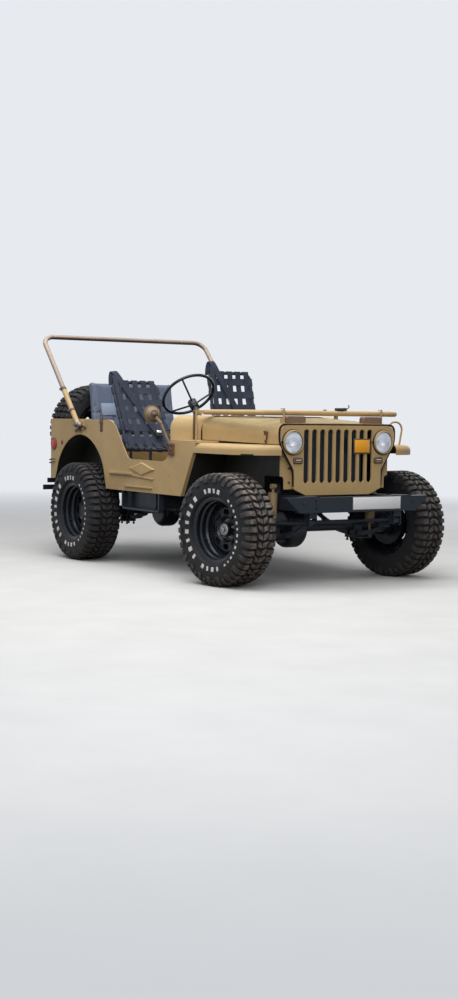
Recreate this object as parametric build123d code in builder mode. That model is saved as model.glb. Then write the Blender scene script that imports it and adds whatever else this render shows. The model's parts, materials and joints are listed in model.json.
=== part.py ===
from build123d import *
import os
from math import atan2, cos, radians, sin

os.makedirs("parts", exist_ok=True)

# A small open four-wheel-drive field car on tall mud tyres, windscreen folded down on the bonnet.
# Millimetres. +X is forward, +Y is the car's left, +Z is up, and the ground is z = 0.
# Lengths along the car are given from the front axle and turned into x by ahead().

# Wheels and axles
wheelbase = 2032
half_track = 722
tyre_radius = 372
tyre_width = 260
tread_width = 236
shoulder_drop = 30
bead_radius = 202
lip_radius = 219
rim_width = 212
rim_wall = 6
disc_inset = 20
disc_thickness = 9
disc_bulge = 4
disc_pad = 70
disc_ring = 142
disc_hole_length = 54
disc_hole_width = 38
disc_hole_circle = 114
disc_hole_count = 8
hub_radius = 46
hub_reach = 42
drum_radius = 140
drum_width = 52
drum_wall = 9
axle_tube_radius = 35
diff_radius = 138
diff_width = 150
diff_side = -205
rear_diff_side = 0
rear_output_side = -40
diff_round = 45
nose_length = 245
nose_radius = 52
kingpin_y = 575
ball_radius = 74
cup_wall = 11
running_gap = 1.0
backing_plate = 8
parked_steer = 8.3
arm_reach = 165
arm_rise = 12
arm_side = 12
arm_eye = 19
arm_thickness = 22
rod_radius = 14
rod_end = 30
rod_end_radius = 17

# Ladder frame
rail_y = 345
rail_width = 60
rail_height = 100
rail_wall = 5
frame_bottom = 500
front_member = 180
rear_members = (892, 552, 132)
member_width = 70
hanger = 26
hanger_slot = 48
spring_half = 450
spring_rise = 105
spring_width = 45
spring_pad = 4
pad_half = 45
spring_eye = 20
leaf = 8
leaf_count = 4
leaf_step = 85
plate_thickness = 12
shock_radius = 33
shock_rod_radius = 9
shock_side = 410
shock_eye = 17
shock_eye_width = 36
shock_foot_ahead = 78
engine_half = 190
engine_low = 520
engine_high = 930
engine_front = 70
engine_back = 470
fan_z = 800
fan_radius = 190
fan_shaft = 34
fan_reach = 26
fan_thickness = 8
radiator_half = 240
radiator_top = 1035
radiator_back = 150
radiator_depth = 50
tank_lap = 10
upper_tank = 70
lower_tank = 60
gearbox_z = 505
gearbox_half = 85
gearbox_front = -660
bell_radius = 130
transfer_front = -900
transfer_back = -1080
transfer_z = 468
shaft_radius = 30
flange_gap = 4
nose_rise = 20
exhaust_y = 225
exhaust_z = 440
pipe_radius = 26
pipe_bend = 70
manifold_z = 780
manifold_half = 30
manifold_front = -120
manifold_back = -360
pipe_top = -240
pipe_foot = -290
pipe_rise_ahead = 332
pipe_end_ahead = 192
pipe_rise = 60
silencer_ahead = 632
silencer_length = 520
silencer_half = 85
silencer_rise = 62
tank_inner = 392
tank_width = 270
tank_ahead = 772
tank_length = 470
tank_depth = 165
step_ahead = 607
step_front = -868
step_z = 425
step_bar = 14
step_bend = 30
step_width = 42
shock_lean = 105
front_shock_top = 655
rear_shock_top = 575

# Bumpers and drawbar
bumper_face = 509
bumper_half = 569
bumper_half_low = 470
bumper_end = 12
bumper_depth = 60
bumper_wall = 5
gusset = 60
horn_depth = 40
bolt_rise = 50
bolt_hole = 7
bumperette_bar = 12
bumperette_root = 40
bumperette_arm = 20
bumperette_splay = 20
bumperettes = ((130, 722, 500, 540), (70, 712, 560, 598))
hitch_z = 530
hitch_plate = 20
hitch_root = 160
hitch_nose = 45
hitch_reach = 130
hitch_hole = 14

# Tub
sheet = 5
tub_half = 728
tub_top = 1077
tub_bottom = 560
tail_bottom = 604
tail_overhang = 629
tub_corner = 40
top_rail = 18
floor_sheet = 6
arch_behind_axle = 80
arch_top = 958
arch_knee = 730
arch_half = 388
arch_foot = 440
wheelhouse_inner = 500
wheelhouse_lip = 27
door_front = 716
door_low_ahead = 702
door_top_ahead = 472
door_sill = 793
door_bend = 118
door_shoulder = 200
side_nose_top = 366
side_nose_low = 570
lozenge_ahead = 914
lozenge_half = 205
lozenge_z = 728
lozenge_rise = 50
pressing = 9
rib_stand = 22
flank_ribs = ((592, 688, 350, 16, 0), (900, 671, 370, 9, -3.5), (862, 597, 405, 11, 0))

# Cowl, bonnet and grille
dash_back = 716
dash_low = 878
cowl_base = 945
cowl_top = 1118
cowl_corner = 92
bonnet_back = 578
skew_wall = 8
dash_plate = 5
toe_back = 690
toe_top = 760
bonnet_rear_half = 557
bonnet_rear_top = 1110
bonnet_rear_low = 950
grille_face = 268
bonnet_front_half = 462
bonnet_front_top = 1076
bonnet_front_low = 934
bonnet_corner = 90
bonnet_lip_half = 375
panel_gap = 3
grille_depth = 34
grille_top = 1062
grille_bottom = 600
grille_corner = 60
grille_sheet = 4
lobe_half = 469
lobe_low = 939
neck_top = 765
neck_low = 642
neck_half = 358
foot_half = 262
slot_count = 9
slot_pitch = 65
slot_width = 44
slot_bottom = 679
slot_top = 1036
slot_flange = 3
slot_flange_depth = 16
lamp_y = 371
lamp_z = 950
lamp_radius = 84
lens_radius = 74
lamp_rim = 14
lens_dome = 15
lamp_depth = 85
marker_y = 331
marker_z = 829
marker_width = 66
marker_height = 36
reflector_edge = 90
reflector_z = 878
reflector_radius = 48

# Front fenders
fender_nose = 290
fender_top = 931
fender_lip = 864
fender_roll = 38
apron_y = 442
apron_low = 640
apron_return = 352
notch_back = 42
notch_top = 725
notch_return = 28
notch_corner = 22
drop_plate_y = 380
fender_inner_front = 473

# Folding windscreen, top bow and their pivots
screen_pivot_back = 590
screen_pivot_z = 1142
screen_half = 583
screen_length = 780
screen_tube = 18
screen_corner = 45
glass_thickness = 6
screen_rail = 30
screen_bar = 11
glass_seat = 5
post_thickness = 16
post_width = 26
pin_radius = 7
hinge_play = 0.5
lug_thickness = 18
block_inner = 240
block_outer = 390
block_ahead = 200
block_length = 50
block_top = 1121
hook_width = 12
hook_bar = 6
hook_rise = 50
guard_ahead = 190
guard_inner = 480
guard_outer = 606
guard_top = 1088
guard_rod = 6.5
bow_pivot_ahead = 571
bow_pivot_z = 1030
bow_back = 655
bow_rise = 705
bow_tube = 19
bow_corner = 95
bow_gap = 8
bow_eye = 27
bow_eye_thickness = 22
bow_plate = 8

# Seats and steering
seat_tube = 13
seat_half = 190
seat_y = 395
seat_depth = 420
seat_foot_ahead = 421
seat_base_z = 863
driver_recline = 27
passenger_recline = 14
passenger_lift = 45
seat_back_length = 560
seat_bend = 60
webbing = 4
web_hole = 34
web_columns = 4
web_pitch = 100
loop_height = 110
loop_width = 100
belt_width = 44
bench_half = 408
bench_tail_gap = 126
bench_depth = 415
bench_cushion_top = 950
bench_top = 1404
bench_pad = 105
bench_back_pad = 70
bench_lean = 11
stand_inset = 40
stand_tie = 140
helm_back = 1145
helm_y = -330
helm_z = 1270
helm_drop = 95
helm_turn = 22
helm_radius = 196
helm_tube = 11
helm_hub_radius = 34
hub_below = 30
hub_above = 22
column_radius = 22
column_slope = 45
spoke_radius = 7

# Mirror and spare wheel
mirror_out = 107
mirror_back = 785
mirror_z = 1121
mirror_radius = 64
mirror_arm = 10
arm_foot_back = 680
arm_foot_z = 880
spare_standoff = 42
spare_y = -225
spare_z = 985

rear_reach = wheelbase + tail_overhang + spare_standoff + tyre_width
front_axle_x = (rear_reach - bumper_face) / 2
axle_z = tyre_radius
frame_top = frame_bottom + rail_height
frame_middle = frame_bottom + rail_height / 2
tail_back = wheelbase + tail_overhang
door_low_rear = wheelbase - door_low_ahead
door_top_rear = wheelbase - door_top_ahead
bench_rear = tail_back - bench_tail_gap
bench_front = bench_rear - bench_depth
disc_face = half_track - disc_inset - disc_thickness
drum_back = disc_face - drum_width
cup_radius = ball_radius + running_gap + cup_wall
rear_axle_x = front_axle_x - wheelbase
spring_bow = (spring_half**2 + spring_rise**2) / (2 * spring_rise)
seat_z = axle_z - axle_tube_radius - spring_pad
spring_eye_z = seat_z + spring_rise - leaf / 2
pad_bottom = seat_z + pad_half**2 / (2 * spring_bow)


def ahead(distance):
    return front_axle_x + distance


# Round bar swept along runs joined by arcs
def tube_along(points, radius, bend):
    with BuildLine() as path:
        FilletPolyline(*points, radius=bend)
    with BuildSketch(Plane(origin=path.line @ 0, z_dir=path.line % 0)) as section:
        Circle(radius)
    sweep(section.sketch, path=path.line)


# Straight round bar between two points
def bar_between(start, end, radius):
    run = Vector(*end) - Vector(*start)
    with BuildSketch(Plane(origin=start, z_dir=run)) as section:
        Circle(radius)
    extrude(section.sketch, amount=run.length)


# Box given by its faces
def block(x_low, x_high, y_low, y_high, z_low, z_high, mode=Mode.ADD):
    centre = ((x_low + x_high) / 2, (y_low + y_high) / 2, (z_low + z_high) / 2)
    with Locations(centre):
        Box(x_high - x_low, y_high - y_low, z_high - z_low, mode=mode)


# Wheels: one tyre and one rim pattern, centre at the origin, outer side towards +Y
half_width = tyre_width / 2
half_tread = tread_width / 2
with BuildPart() as tyre_pattern:
    with BuildSketch(Plane.XY):
        with BuildLine():
            Polyline(
                (lip_radius, -rim_width / 2 + 4),
                (bead_radius + 2, -rim_width / 2 + 10),
                (bead_radius + 2, rim_width / 2 - 10),
                (lip_radius, rim_width / 2 - 4),
                (lip_radius + 30, half_width - 6),
                (tyre_radius - 95, half_width),
                (tyre_radius - shoulder_drop, half_width - 4),
                (tyre_radius - 6, half_tread - 4),
                (tyre_radius, half_tread - 22),
                (tyre_radius, -half_tread + 22),
                (tyre_radius - 6, -half_tread + 4),
                (tyre_radius - shoulder_drop, -half_width + 4),
                (tyre_radius - 95, -half_width),
                (lip_radius + 30, -half_width + 6),
                close=True,
            )
        make_face()
    revolve(axis=Axis.Y)

with BuildPart() as rim_pattern:
    with BuildSketch(Plane.XY):
        with BuildLine():
            Polyline(
                (lip_radius, -rim_width / 2),
                (lip_radius, -rim_width / 2 + 4),
                (bead_radius + 2, -rim_width / 2 + 10),
                (bead_radius + 2, rim_width / 2 - 10),
                (lip_radius, rim_width / 2 - 4),
                (lip_radius, rim_width / 2),
                (bead_radius - rim_wall, rim_width / 2 - 12),
                (bead_radius - rim_wall - 1, 64),
                (bead_radius - rim_wall - 11, 56),
                (bead_radius - rim_wall - 12, 24),
                (bead_radius - rim_wall - 22, 12),
                (bead_radius - rim_wall - 22, -46),
                (bead_radius - rim_wall, -rim_width / 2 + 12),
                close=True,
            )
        make_face()
    revolve(axis=Axis.Y)
    with BuildSketch(Plane.XY):
        with BuildLine():
            Polyline(
                (hub_radius, -disc_inset),
                (disc_pad, -disc_inset),
                (disc_pad + disc_inset, disc_bulge),
                (disc_ring, disc_bulge),
                (bead_radius - 2 * rim_wall, -disc_inset),
                (bead_radius - 2 * rim_wall, -disc_inset - disc_thickness),
                (disc_ring, disc_bulge - disc_thickness),
                (disc_pad + disc_inset, disc_bulge - disc_thickness),
                (disc_pad, -disc_inset - disc_thickness),
                (hub_radius, -disc_inset - disc_thickness),
                close=True,
            )
        make_face()
    revolve(axis=Axis.Y)
    with BuildSketch(Plane.XZ.offset(-disc_bulge)):
        with PolarLocations(disc_hole_circle, disc_hole_count):
            RectangleRounded(disc_hole_width, disc_hole_length, 16)
    extrude(amount=disc_inset, mode=Mode.SUBTRACT)

# Hub and brake drum behind the disc, for the four wheels on the ground
with BuildPart() as drum_pattern:
    with BuildSketch(Plane.XZ.offset(disc_inset - hub_reach)):
        Circle(hub_radius)
    extrude(amount=hub_reach)
    with BuildSketch(Plane.XZ.offset(disc_inset)):
        Circle(hub_radius)
    extrude(amount=disc_thickness)
    with BuildSketch(Plane.XZ.offset(disc_inset + disc_thickness)):
        Circle(drum_radius)
    extrude(amount=drum_width)
    with BuildSketch(Plane.XZ.offset(disc_inset + disc_thickness + drum_wall)):
        Circle(drum_radius - drum_wall)
    extrude(amount=drum_width, mode=Mode.SUBTRACT)
    with BuildSketch(Plane.XZ.offset(disc_inset + disc_thickness)):
        Circle(hub_radius)
    extrude(amount=disc_face - kingpin_y - cup_radius - running_gap)

# Steering knuckle: origin on the kingpin at axle height, outer side towards +Y, arm forward
with BuildPart() as knuckle_pattern:
    Sphere(cup_radius)
    with Locations((0, -cup_radius, 0)):
        Box(2 * cup_radius, 2 * cup_radius, 2 * cup_radius, mode=Mode.SUBTRACT)
    with BuildSketch(Plane.XZ.offset(-(drum_back - running_gap - kingpin_y))):
        Circle(drum_radius + 6)
    extrude(amount=backing_plate)
    block(cup_radius / 2, arm_reach, arm_side - 11, arm_side + 11, arm_rise - arm_thickness / 2, arm_rise + arm_thickness / 2)
    with Locations((arm_reach, arm_side, arm_rise)):
        Cylinder(arm_eye, arm_thickness)
    Sphere(ball_radius + running_gap, mode=Mode.SUBTRACT)

# The four wheels: name, x, y, turn about Z
steer = radians(parked_steer)
swing = half_track - kingpin_y
wheel_places = (
    ("front_left", front_axle_x - swing * sin(steer), kingpin_y + swing * cos(steer), parked_steer),
    ("front_right", front_axle_x + swing * sin(steer), -kingpin_y - swing * cos(steer), parked_steer + 180),
    ("rear_left", rear_axle_x, half_track, 0),
    ("rear_right", rear_axle_x, -half_track, 180),
)
pieces = {}
for place, wheel_x, wheel_y, turn in wheel_places:
    with BuildPart() as tyre:
        with Locations(Location((wheel_x, wheel_y, axle_z), (0, 0, turn))):
            add(tyre_pattern.part)
    pieces["tyre_" + place] = tyre.part
    with BuildPart() as rim:
        with Locations(Location((wheel_x, wheel_y, axle_z), (0, 0, turn))):
            add(rim_pattern.part)
            add(drum_pattern.part)
    pieces["rim_" + place] = rim.part

# Knuckles, the right one a mirror image, both parked a little to the left
with BuildPart() as knuckle_left:
    with Locations(Location((front_axle_x, kingpin_y, axle_z), (0, 0, parked_steer))):
        add(knuckle_pattern.part)
with BuildPart() as knuckle_mirrored:
    add(knuckle_pattern.part)
    mirror(about=Plane.XZ, mode=Mode.REPLACE)
with BuildPart() as knuckle_right:
    with Locations(Location((front_axle_x, -kingpin_y, axle_z), (0, 0, parked_steer))):
        add(knuckle_mirrored.part)
pieces["knuckle_left"] = knuckle_left.part
pieces["knuckle_right"] = knuckle_right.part

# Tie rod over the two arm eyes
arm_x = arm_reach * cos(steer)
arm_y = arm_reach * sin(steer)
left_pin = (front_axle_x + arm_x - arm_side * sin(steer), kingpin_y + arm_y + arm_side * cos(steer))
right_pin = (front_axle_x + arm_x + arm_side * sin(steer), -kingpin_y + arm_y - arm_side * cos(steer))
rod_z = axle_z + arm_rise + arm_thickness / 2 + running_gap + rod_end / 2
with BuildPart() as tie_rod:
    bar_between((*right_pin, rod_z), (*left_pin, rod_z), rod_radius)
    for pin in (left_pin, right_pin):
        with Locations((*pin, rod_z)):
            Cylinder(rod_end_radius, rod_end)
pieces["tie_rod"] = tie_rod.part

# Axles: tube, offset differential with its nose towards the middle of the car
for name, axle_x, nose, diff_y, tube_half in (
    ("front_axle", front_axle_x, -1, diff_side, kingpin_y),
    ("rear_axle", rear_axle_x, 1, rear_diff_side, drum_back - running_gap - backing_plate),
):
    with BuildPart() as axle:
        bar_between((axle_x, -tube_half, axle_z), (axle_x, tube_half, axle_z), axle_tube_radius)
        with BuildSketch(Plane.XZ.offset(-diff_y - diff_width / 2)):
            with Locations((axle_x, axle_z)):
                Circle(diff_radius)
        extrude(amount=diff_width)
        fillet(axle.edges().filter_by(GeomType.CIRCLE).filter_by(lambda e: abs(e.radius - diff_radius) < 0.1), diff_round)
        nose_start = (axle_x, diff_y, axle_z)
        nose_end = (axle_x + nose * nose_length, diff_y, axle_z + nose_rise)
        bar_between(nose_start, nose_end, nose_radius)
        for side in (-1, 1):
            block(axle_x - pad_half, axle_x + pad_half, side * rail_y - 28, side * rail_y + 28, pad_bottom, axle_z)
        if name == "front_axle":
            with Locations((axle_x, -kingpin_y, axle_z), (axle_x, kingpin_y, axle_z)):
                Sphere(ball_radius)
        else:
            for side in (-1, 1):
                flange = Plane(origin=(axle_x, side * tube_half, axle_z), z_dir=(0, side, 0))
                with BuildSketch(flange):
                    Circle(drum_radius + 6)
                extrude(amount=backing_plate)
    pieces[name] = axle.part

# Ladder frame: two channel rails with nose horns, cross members, spring hangers, gussets and drawbar
rail_inner = rail_y - rail_width / 2
rail_outer = rail_y + rail_width / 2
horn_back = ahead(bumper_face - bumper_depth)
horn_front = ahead(bumper_face - bumper_wall)
frame_back = ahead(-tail_back + sheet)
hitch_x = frame_back - hitch_reach + hitch_nose
with BuildPart() as frame:
    for side in (-1, 1):
        with BuildSketch(Plane.YZ.offset(frame_back)):
            with Locations((side * rail_y, frame_middle)):
                Rectangle(rail_width, rail_height)
            with Locations((side * (rail_y - rail_wall), frame_middle)):
                Rectangle(rail_width, rail_height - 2 * rail_wall, mode=Mode.SUBTRACT)
        extrude(amount=horn_back - frame_back)
        y_low, y_high = sorted((side * rail_inner, side * rail_outer))
        block(horn_back - gusset, horn_front, y_low, y_high, frame_bottom + rail_wall, frame_top - rail_wall)
        with BuildSketch(Plane.XY.offset(frame_top)):
            with BuildLine():
                Polyline(
                    (horn_front, side * rail_inner),
                    (horn_front, side * (rail_outer + gusset)),
                    (horn_back - gusset, side * rail_outer),
                    (horn_back - gusset, side * rail_inner),
                    close=True,
                )
            make_face()
        extrude(amount=rail_wall)
        for axle_x in (front_axle_x, rear_axle_x):
            for end in (-1, 1):
                eye_x = axle_x + end * spring_half
                block(eye_x - hanger, eye_x + hanger, y_low, y_high, spring_eye_z - hanger, frame_bottom)
                slot_low = side * rail_y - hanger_slot / 2
                eye_room = (eye_x - hanger, eye_x + hanger, slot_low, slot_low + hanger_slot)
                block(*eye_room, spring_eye_z - hanger, spring_eye_z + hanger, Mode.SUBTRACT)
    members = [front_member, sheet + member_width / 2 - tail_back]
    members += [distance - wheelbase for distance in rear_members]
    for member in members:
        with BuildSketch(Plane.XZ.offset(-rail_outer + rail_wall)):
            with Locations((ahead(member), frame_middle)):
                Rectangle(member_width, rail_height - 2 * rail_wall)
            with Locations((ahead(member) + rail_wall, frame_middle)):
                Rectangle(member_width, rail_height - 4 * rail_wall, mode=Mode.SUBTRACT)
        extrude(amount=2 * (rail_outer - rail_wall))
    with BuildSketch(Plane.YZ.offset(horn_front - horn_depth)):
        with Locations((0, frame_middle)):
            with GridLocations(2 * rail_y, bolt_rise, 2, 2):
                Circle(bolt_hole)
    extrude(amount=horn_depth, mode=Mode.SUBTRACT)
    with BuildSketch(Plane.XY.offset(hitch_z)):
        with BuildLine():
            Polyline(
                (frame_back, -hitch_root),
                (frame_back, hitch_root),
                (frame_back - hitch_reach + hitch_nose, hitch_nose),
                (frame_back - hitch_reach, hitch_nose),
                (frame_back - hitch_reach, -hitch_nose),
                (frame_back - hitch_reach + hitch_nose, -hitch_nose),
                close=True,
            )
        make_face()
        with Locations((hitch_x, 0)):
            Circle(hitch_hole, mode=Mode.SUBTRACT)
    extrude(amount=hitch_plate)

# Front bumper: channel open to the rear, with its lower corners cut away
with BuildPart() as front_bumper:
    with BuildSketch(Plane.YZ.offset(ahead(bumper_face - bumper_depth))):
        with BuildLine():
            Polyline(
                (-bumper_half, frame_top),
                (-bumper_half, frame_top - bumper_end),
                (-bumper_half_low, frame_bottom),
                (bumper_half_low, frame_bottom),
                (bumper_half, frame_top - bumper_end),
                (bumper_half, frame_top),
                close=True,
            )
        make_face()
    extrude(amount=bumper_depth)
    block(
        ahead(bumper_face - bumper_depth),
        horn_front,
        -bumper_half,
        bumper_half,
        frame_bottom + bumper_wall,
        frame_top - bumper_wall,
        Mode.SUBTRACT,
    )
    with BuildSketch(Plane.YZ.offset(horn_front)):
        with Locations((0, frame_middle)):
            with GridLocations(2 * rail_y, bolt_rise, 2, 2):
                Circle(bolt_hole)
    extrude(amount=bumper_wall, mode=Mode.SUBTRACT)
pieces["front_bumper"] = front_bumper.part

# Bumperettes on the frame's tail, from a table of reach behind it, half width, lower and upper face
with BuildPart() as rear_bumperettes:
    for reach, half, low, high in bumperettes:
        bar_x = ahead(-tail_back - reach)
        for side in (-1, 1):
            with BuildSketch(Plane.XY.offset(low)):
                with BuildLine():
                    Polyline(
                        (frame_back, side * (rail_outer - bumperette_root)),
                        (bar_x, side * (rail_outer + bumperette_splay)),
                        (bar_x, side * half),
                        (bar_x + bumperette_bar, side * half),
                        (bar_x + bumperette_bar, side * (rail_outer + bumperette_splay + bumperette_bar / 2)),
                        (frame_back, side * (rail_outer - bumperette_root + bumperette_arm)),
                        close=True,
                    )
                make_face()
            extrude(amount=high - low)

# Leaf springs under the axles: each leaf is an arc, shorter towards the bottom
plate_z = seat_z - leaf_count * leaf - 8
with BuildPart() as leaf_springs:
    for axle_x in (front_axle_x, rear_axle_x):
        for side in (-1, 1):
            for count in range(leaf_count):
                reach = spring_half - count * leaf_step
                with BuildSketch(Plane.XZ.offset(-side * rail_y - spring_width / 2)):
                    with Locations((axle_x, seat_z + spring_bow)):
                        Circle(spring_bow + (count + 1) * leaf)
                        Circle(spring_bow + count * leaf, mode=Mode.SUBTRACT)
                    with Locations((axle_x, seat_z)):
                        Rectangle(2 * reach, 2 * spring_bow, mode=Mode.INTERSECT)
                    with Locations((axle_x, seat_z + spring_bow)):
                        Rectangle(4 * spring_bow, 2 * spring_bow * 0.6, mode=Mode.SUBTRACT)
                extrude(amount=spring_width)
            for end in (-1, 1):
                with Locations(Location((axle_x + end * spring_half, side * rail_y, spring_eye_z), (90, 0, 0))):
                    Cylinder(spring_eye, spring_width)
            block(
                axle_x - 60,
                axle_x + 60,
                side * rail_y - 38,
                side * rail_y + 38,
                plate_z,
                plate_z + plate_thickness,
            )
pieces["leaf_springs"] = leaf_springs.part

# Telescopic shock absorbers outside the rails, from the spring plates up to brackets on the frame
shock_places = [
    (axle_x, lean, head_z, side)
    for axle_x, lean, head_z in ((front_axle_x, 1, front_shock_top), (rear_axle_x, -1, rear_shock_top))
    for side in (-1, 1)
]
with BuildPart() as shock_absorbers:
    for axle_x, lean, shock_head_z, side in shock_places:
        foot = (axle_x + lean * shock_foot_ahead, side * shock_side, plate_z + 6)
        head = (axle_x + lean * shock_lean, side * shock_side, shock_head_z)
        run = Vector(*head) - Vector(*foot)
        bar_between(foot, head, shock_rod_radius)
        body_low = Vector(*foot) + run * 0.26
        body_high = Vector(*foot) + run * 0.88
        bar_between(tuple(body_low), tuple(body_high), shock_radius)
        for end in (foot, head):
            with Locations(Location(end, (90, 0, 0))):
                Cylinder(shock_eye, shock_eye_width)
        y_low, y_high = sorted((side * (rail_y - 38), side * (shock_side + shock_eye_width / 2)))
        x_low, x_high = sorted((axle_x - lean * 60, foot[0] + lean * 12))
        block(x_low, x_high, y_low, y_high, plate_z - 8, plate_z)
pieces["shock_absorbers"] = shock_absorbers.part

# Shock brackets: a plate standing on the rail at the front, a stub on its side at the rear
with BuildPart() as shock_brackets:
    for axle_x, lean, shock_head_z, side in shock_places:
        head_x = axle_x + lean * shock_lean
        y_low, y_high = sorted((side * rail_outer, side * (shock_side - shock_eye_width / 2)))
        block(head_x - 12, head_x + 12, y_low, y_high, shock_head_z - 12, shock_head_z + 12)
        if shock_head_z > frame_top:
            y_low, y_high = sorted((side * (rail_outer - 10), side * rail_outer))
            block(head_x - 24, head_x + 24, y_low, y_high, frame_top, shock_head_z + 16)
pieces["shock_brackets"] = shock_brackets.part
pieces["frame"] = frame.part + rear_bumperettes.part

# Engine as one plain block with its fan, and the radiator behind the grille
with BuildPart() as engine:
    block(ahead(-engine_back), ahead(engine_front), -engine_half, engine_half, engine_low, engine_high)
    with BuildSketch(Plane.YZ.offset(ahead(engine_front))):
        with Locations((0, fan_z)):
            Circle(fan_shaft)
    extrude(amount=fan_reach + fan_thickness)
    with BuildSketch(Plane.YZ.offset(ahead(engine_front) + fan_reach)):
        with Locations((0, fan_z)):
            Circle(fan_radius)
            with PolarLocations(fan_radius * 0.62, 4):
                RectangleRounded(fan_radius * 0.66, 60, 18, mode=Mode.SUBTRACT)
    extrude(amount=fan_thickness)
pieces["engine"] = engine.part

with BuildPart() as radiator:
    core_x = ahead(radiator_back)
    block(core_x, core_x + radiator_depth, -radiator_half, radiator_half, frame_top, radiator_top)
    with BuildSketch(Plane.YZ.offset(core_x - tank_lap)):
        with Locations((0, radiator_top - 2 * tank_lap)):
            RectangleRounded(2 * (radiator_half + tank_lap), upper_tank, 16)
        with Locations((0, frame_top + lower_tank / 2)):
            RectangleRounded(2 * (radiator_half + tank_lap), lower_tank, 16)
    extrude(amount=radiator_depth + 2 * tank_lap)
pieces["radiator"] = radiator.part

# Gearbox and transfer case with the two propeller shafts
with BuildPart() as driveline:
    with BuildSketch(Plane.YZ.offset(ahead(-engine_back))):
        with Locations((0, gearbox_z)):
            Circle(bell_radius)
    with BuildSketch(Plane.YZ.offset(ahead(gearbox_front))):
        with Locations((0, gearbox_z)):
            Circle(gearbox_half)
    loft()
    gearbox_faces = (-gearbox_half, gearbox_half, gearbox_z - gearbox_half, gearbox_z + gearbox_half)
    block(ahead(transfer_front), ahead(gearbox_front), *gearbox_faces)
    with BuildSketch(Plane.YZ.offset(ahead(transfer_back))):
        with Locations((diff_side / 2, transfer_z)):
            RectangleRounded(-diff_side + 190, 210, 60)
    extrude(amount=transfer_front - transfer_back)
    for shaft_start, start_side, shaft_end, end_side in (
        (ahead(transfer_front), diff_side, front_axle_x - nose_length - flange_gap, diff_side),
        (ahead(transfer_back), rear_output_side, rear_axle_x + nose_length + flange_gap, rear_diff_side),
    ):
        start = (shaft_start, start_side, transfer_z - 20)
        end = (shaft_end, end_side, axle_z + nose_rise)
        bar_between(start, end, shaft_radius)
        away = Vector(*end) - Vector(*start)
        for joint, toward in ((start, away), (end, away * -1)):
            bar_between(joint, tuple(Vector(*joint) + toward.normalized() * 55), shaft_radius + 18)
pieces["driveline"] = driveline.part

# Exhaust with its silencer along the left rail
with BuildPart() as exhaust:
    pipe = (
        (ahead(pipe_top), exhaust_y, manifold_z),
        (ahead(pipe_foot), exhaust_y, exhaust_z),
        (rear_axle_x + pipe_rise_ahead, exhaust_y, exhaust_z),
        (rear_axle_x + pipe_end_ahead, exhaust_y, exhaust_z + pipe_rise),
    )
    tube_along(pipe, pipe_radius, pipe_bend)
    manifold_faces = (engine_half, exhaust_y, manifold_z - manifold_half, manifold_z + manifold_half)
    block(ahead(manifold_back), ahead(manifold_front), *manifold_faces)
    with BuildSketch(Plane.YZ.offset(rear_axle_x + silencer_ahead)):
        with Locations((exhaust_y, exhaust_z)):
            Ellipse(silencer_half, silencer_rise)
    extrude(amount=silencer_length)
pieces["exhaust"] = exhaust.part

# Fuel tank hung under the floor on the right
with BuildPart() as fuel_tank:
    with BuildSketch(Plane.XZ.offset(tank_inner)):
        with Locations((rear_axle_x + tank_ahead, frame_top - tank_depth / 2)):
            RectangleRounded(tank_length, tank_depth, 40)
    extrude(amount=tank_width)
pieces["fuel_tank"] = fuel_tank.part

# Side steps: a flat bar bent up at both ends to the bottom of each tub side
step_x = rear_axle_x + step_ahead
with BuildPart() as side_steps:
    with BuildSketch(Plane.XZ.offset(tub_half - step_width)):
        with BuildLine():
            FilletPolyline(
                (step_x, tub_bottom),
                (step_x, step_z),
                (ahead(step_front), step_z),
                (ahead(step_front), tub_bottom),
                radius=step_bend,
            )
            offset(amount=step_bar, side=Side.LEFT)
        make_face()
    extrude(amount=step_width)
    mirror(about=Plane.XZ)
pieces["side_steps"] = side_steps.part

# Tub walls: one bent skin with its rolled top rail, cut to the side outline
def tub_plan(inset, nose):
    tail = ahead(-tail_back) + inset
    half = tub_half - inset
    with BuildSketch() as plan:
        with BuildLine():
            Polyline((nose, -half), (tail, -half), (tail, half), (nose, half), close=True)
        make_face()
        fillet(plan.vertices().group_by(Axis.X)[0], tub_corner - inset)
    return plan.sketch


nose_x = ahead(-side_nose_top)
arch_x = rear_axle_x - arch_behind_axle
with BuildPart() as tub_skin:
    with BuildSketch(Plane.XY.offset(tub_bottom)):
        add(tub_plan(0, nose_x))
        add(tub_plan(sheet, nose_x + sheet), mode=Mode.SUBTRACT)
    extrude(amount=tub_top - tub_bottom)
    with BuildSketch(Plane.XY.offset(tub_top - top_rail)):
        add(tub_plan(0, nose_x))
        add(tub_plan(top_rail, nose_x + sheet), mode=Mode.SUBTRACT)
    extrude(amount=top_rail)
    with BuildSketch(Plane.XZ):
        with BuildLine():
            Polyline(
                (arch_x + arch_foot, tub_bottom),
                (ahead(-side_nose_low), tub_bottom),
                (nose_x, cowl_base),
                (ahead(-dash_back), cowl_base),
            )
            FilletPolyline(
                (ahead(-dash_back), cowl_base),
                (ahead(-dash_back), door_sill),
                (ahead(-door_low_rear), door_sill),
                (ahead(-door_top_rear), tub_top),
                (ahead(-tail_back) - 1, tub_top),
                radius=(door_bend, door_bend, door_shoulder),
            )
            Polyline(
                (ahead(-tail_back) - 1, tub_top),
                (ahead(-tail_back) - 1, tail_bottom),
                (arch_x - arch_foot, tail_bottom),
                (arch_x - arch_half, arch_knee),
            )
            ThreePointArc(
                (arch_x - arch_half, arch_knee),
                (arch_x, arch_top),
                (arch_x + arch_half, arch_knee),
            )
            Line((arch_x + arch_half, arch_knee), (arch_x + arch_foot, tub_bottom))
        make_face()
    extrude(amount=tub_half, both=True, mode=Mode.INTERSECT)

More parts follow.
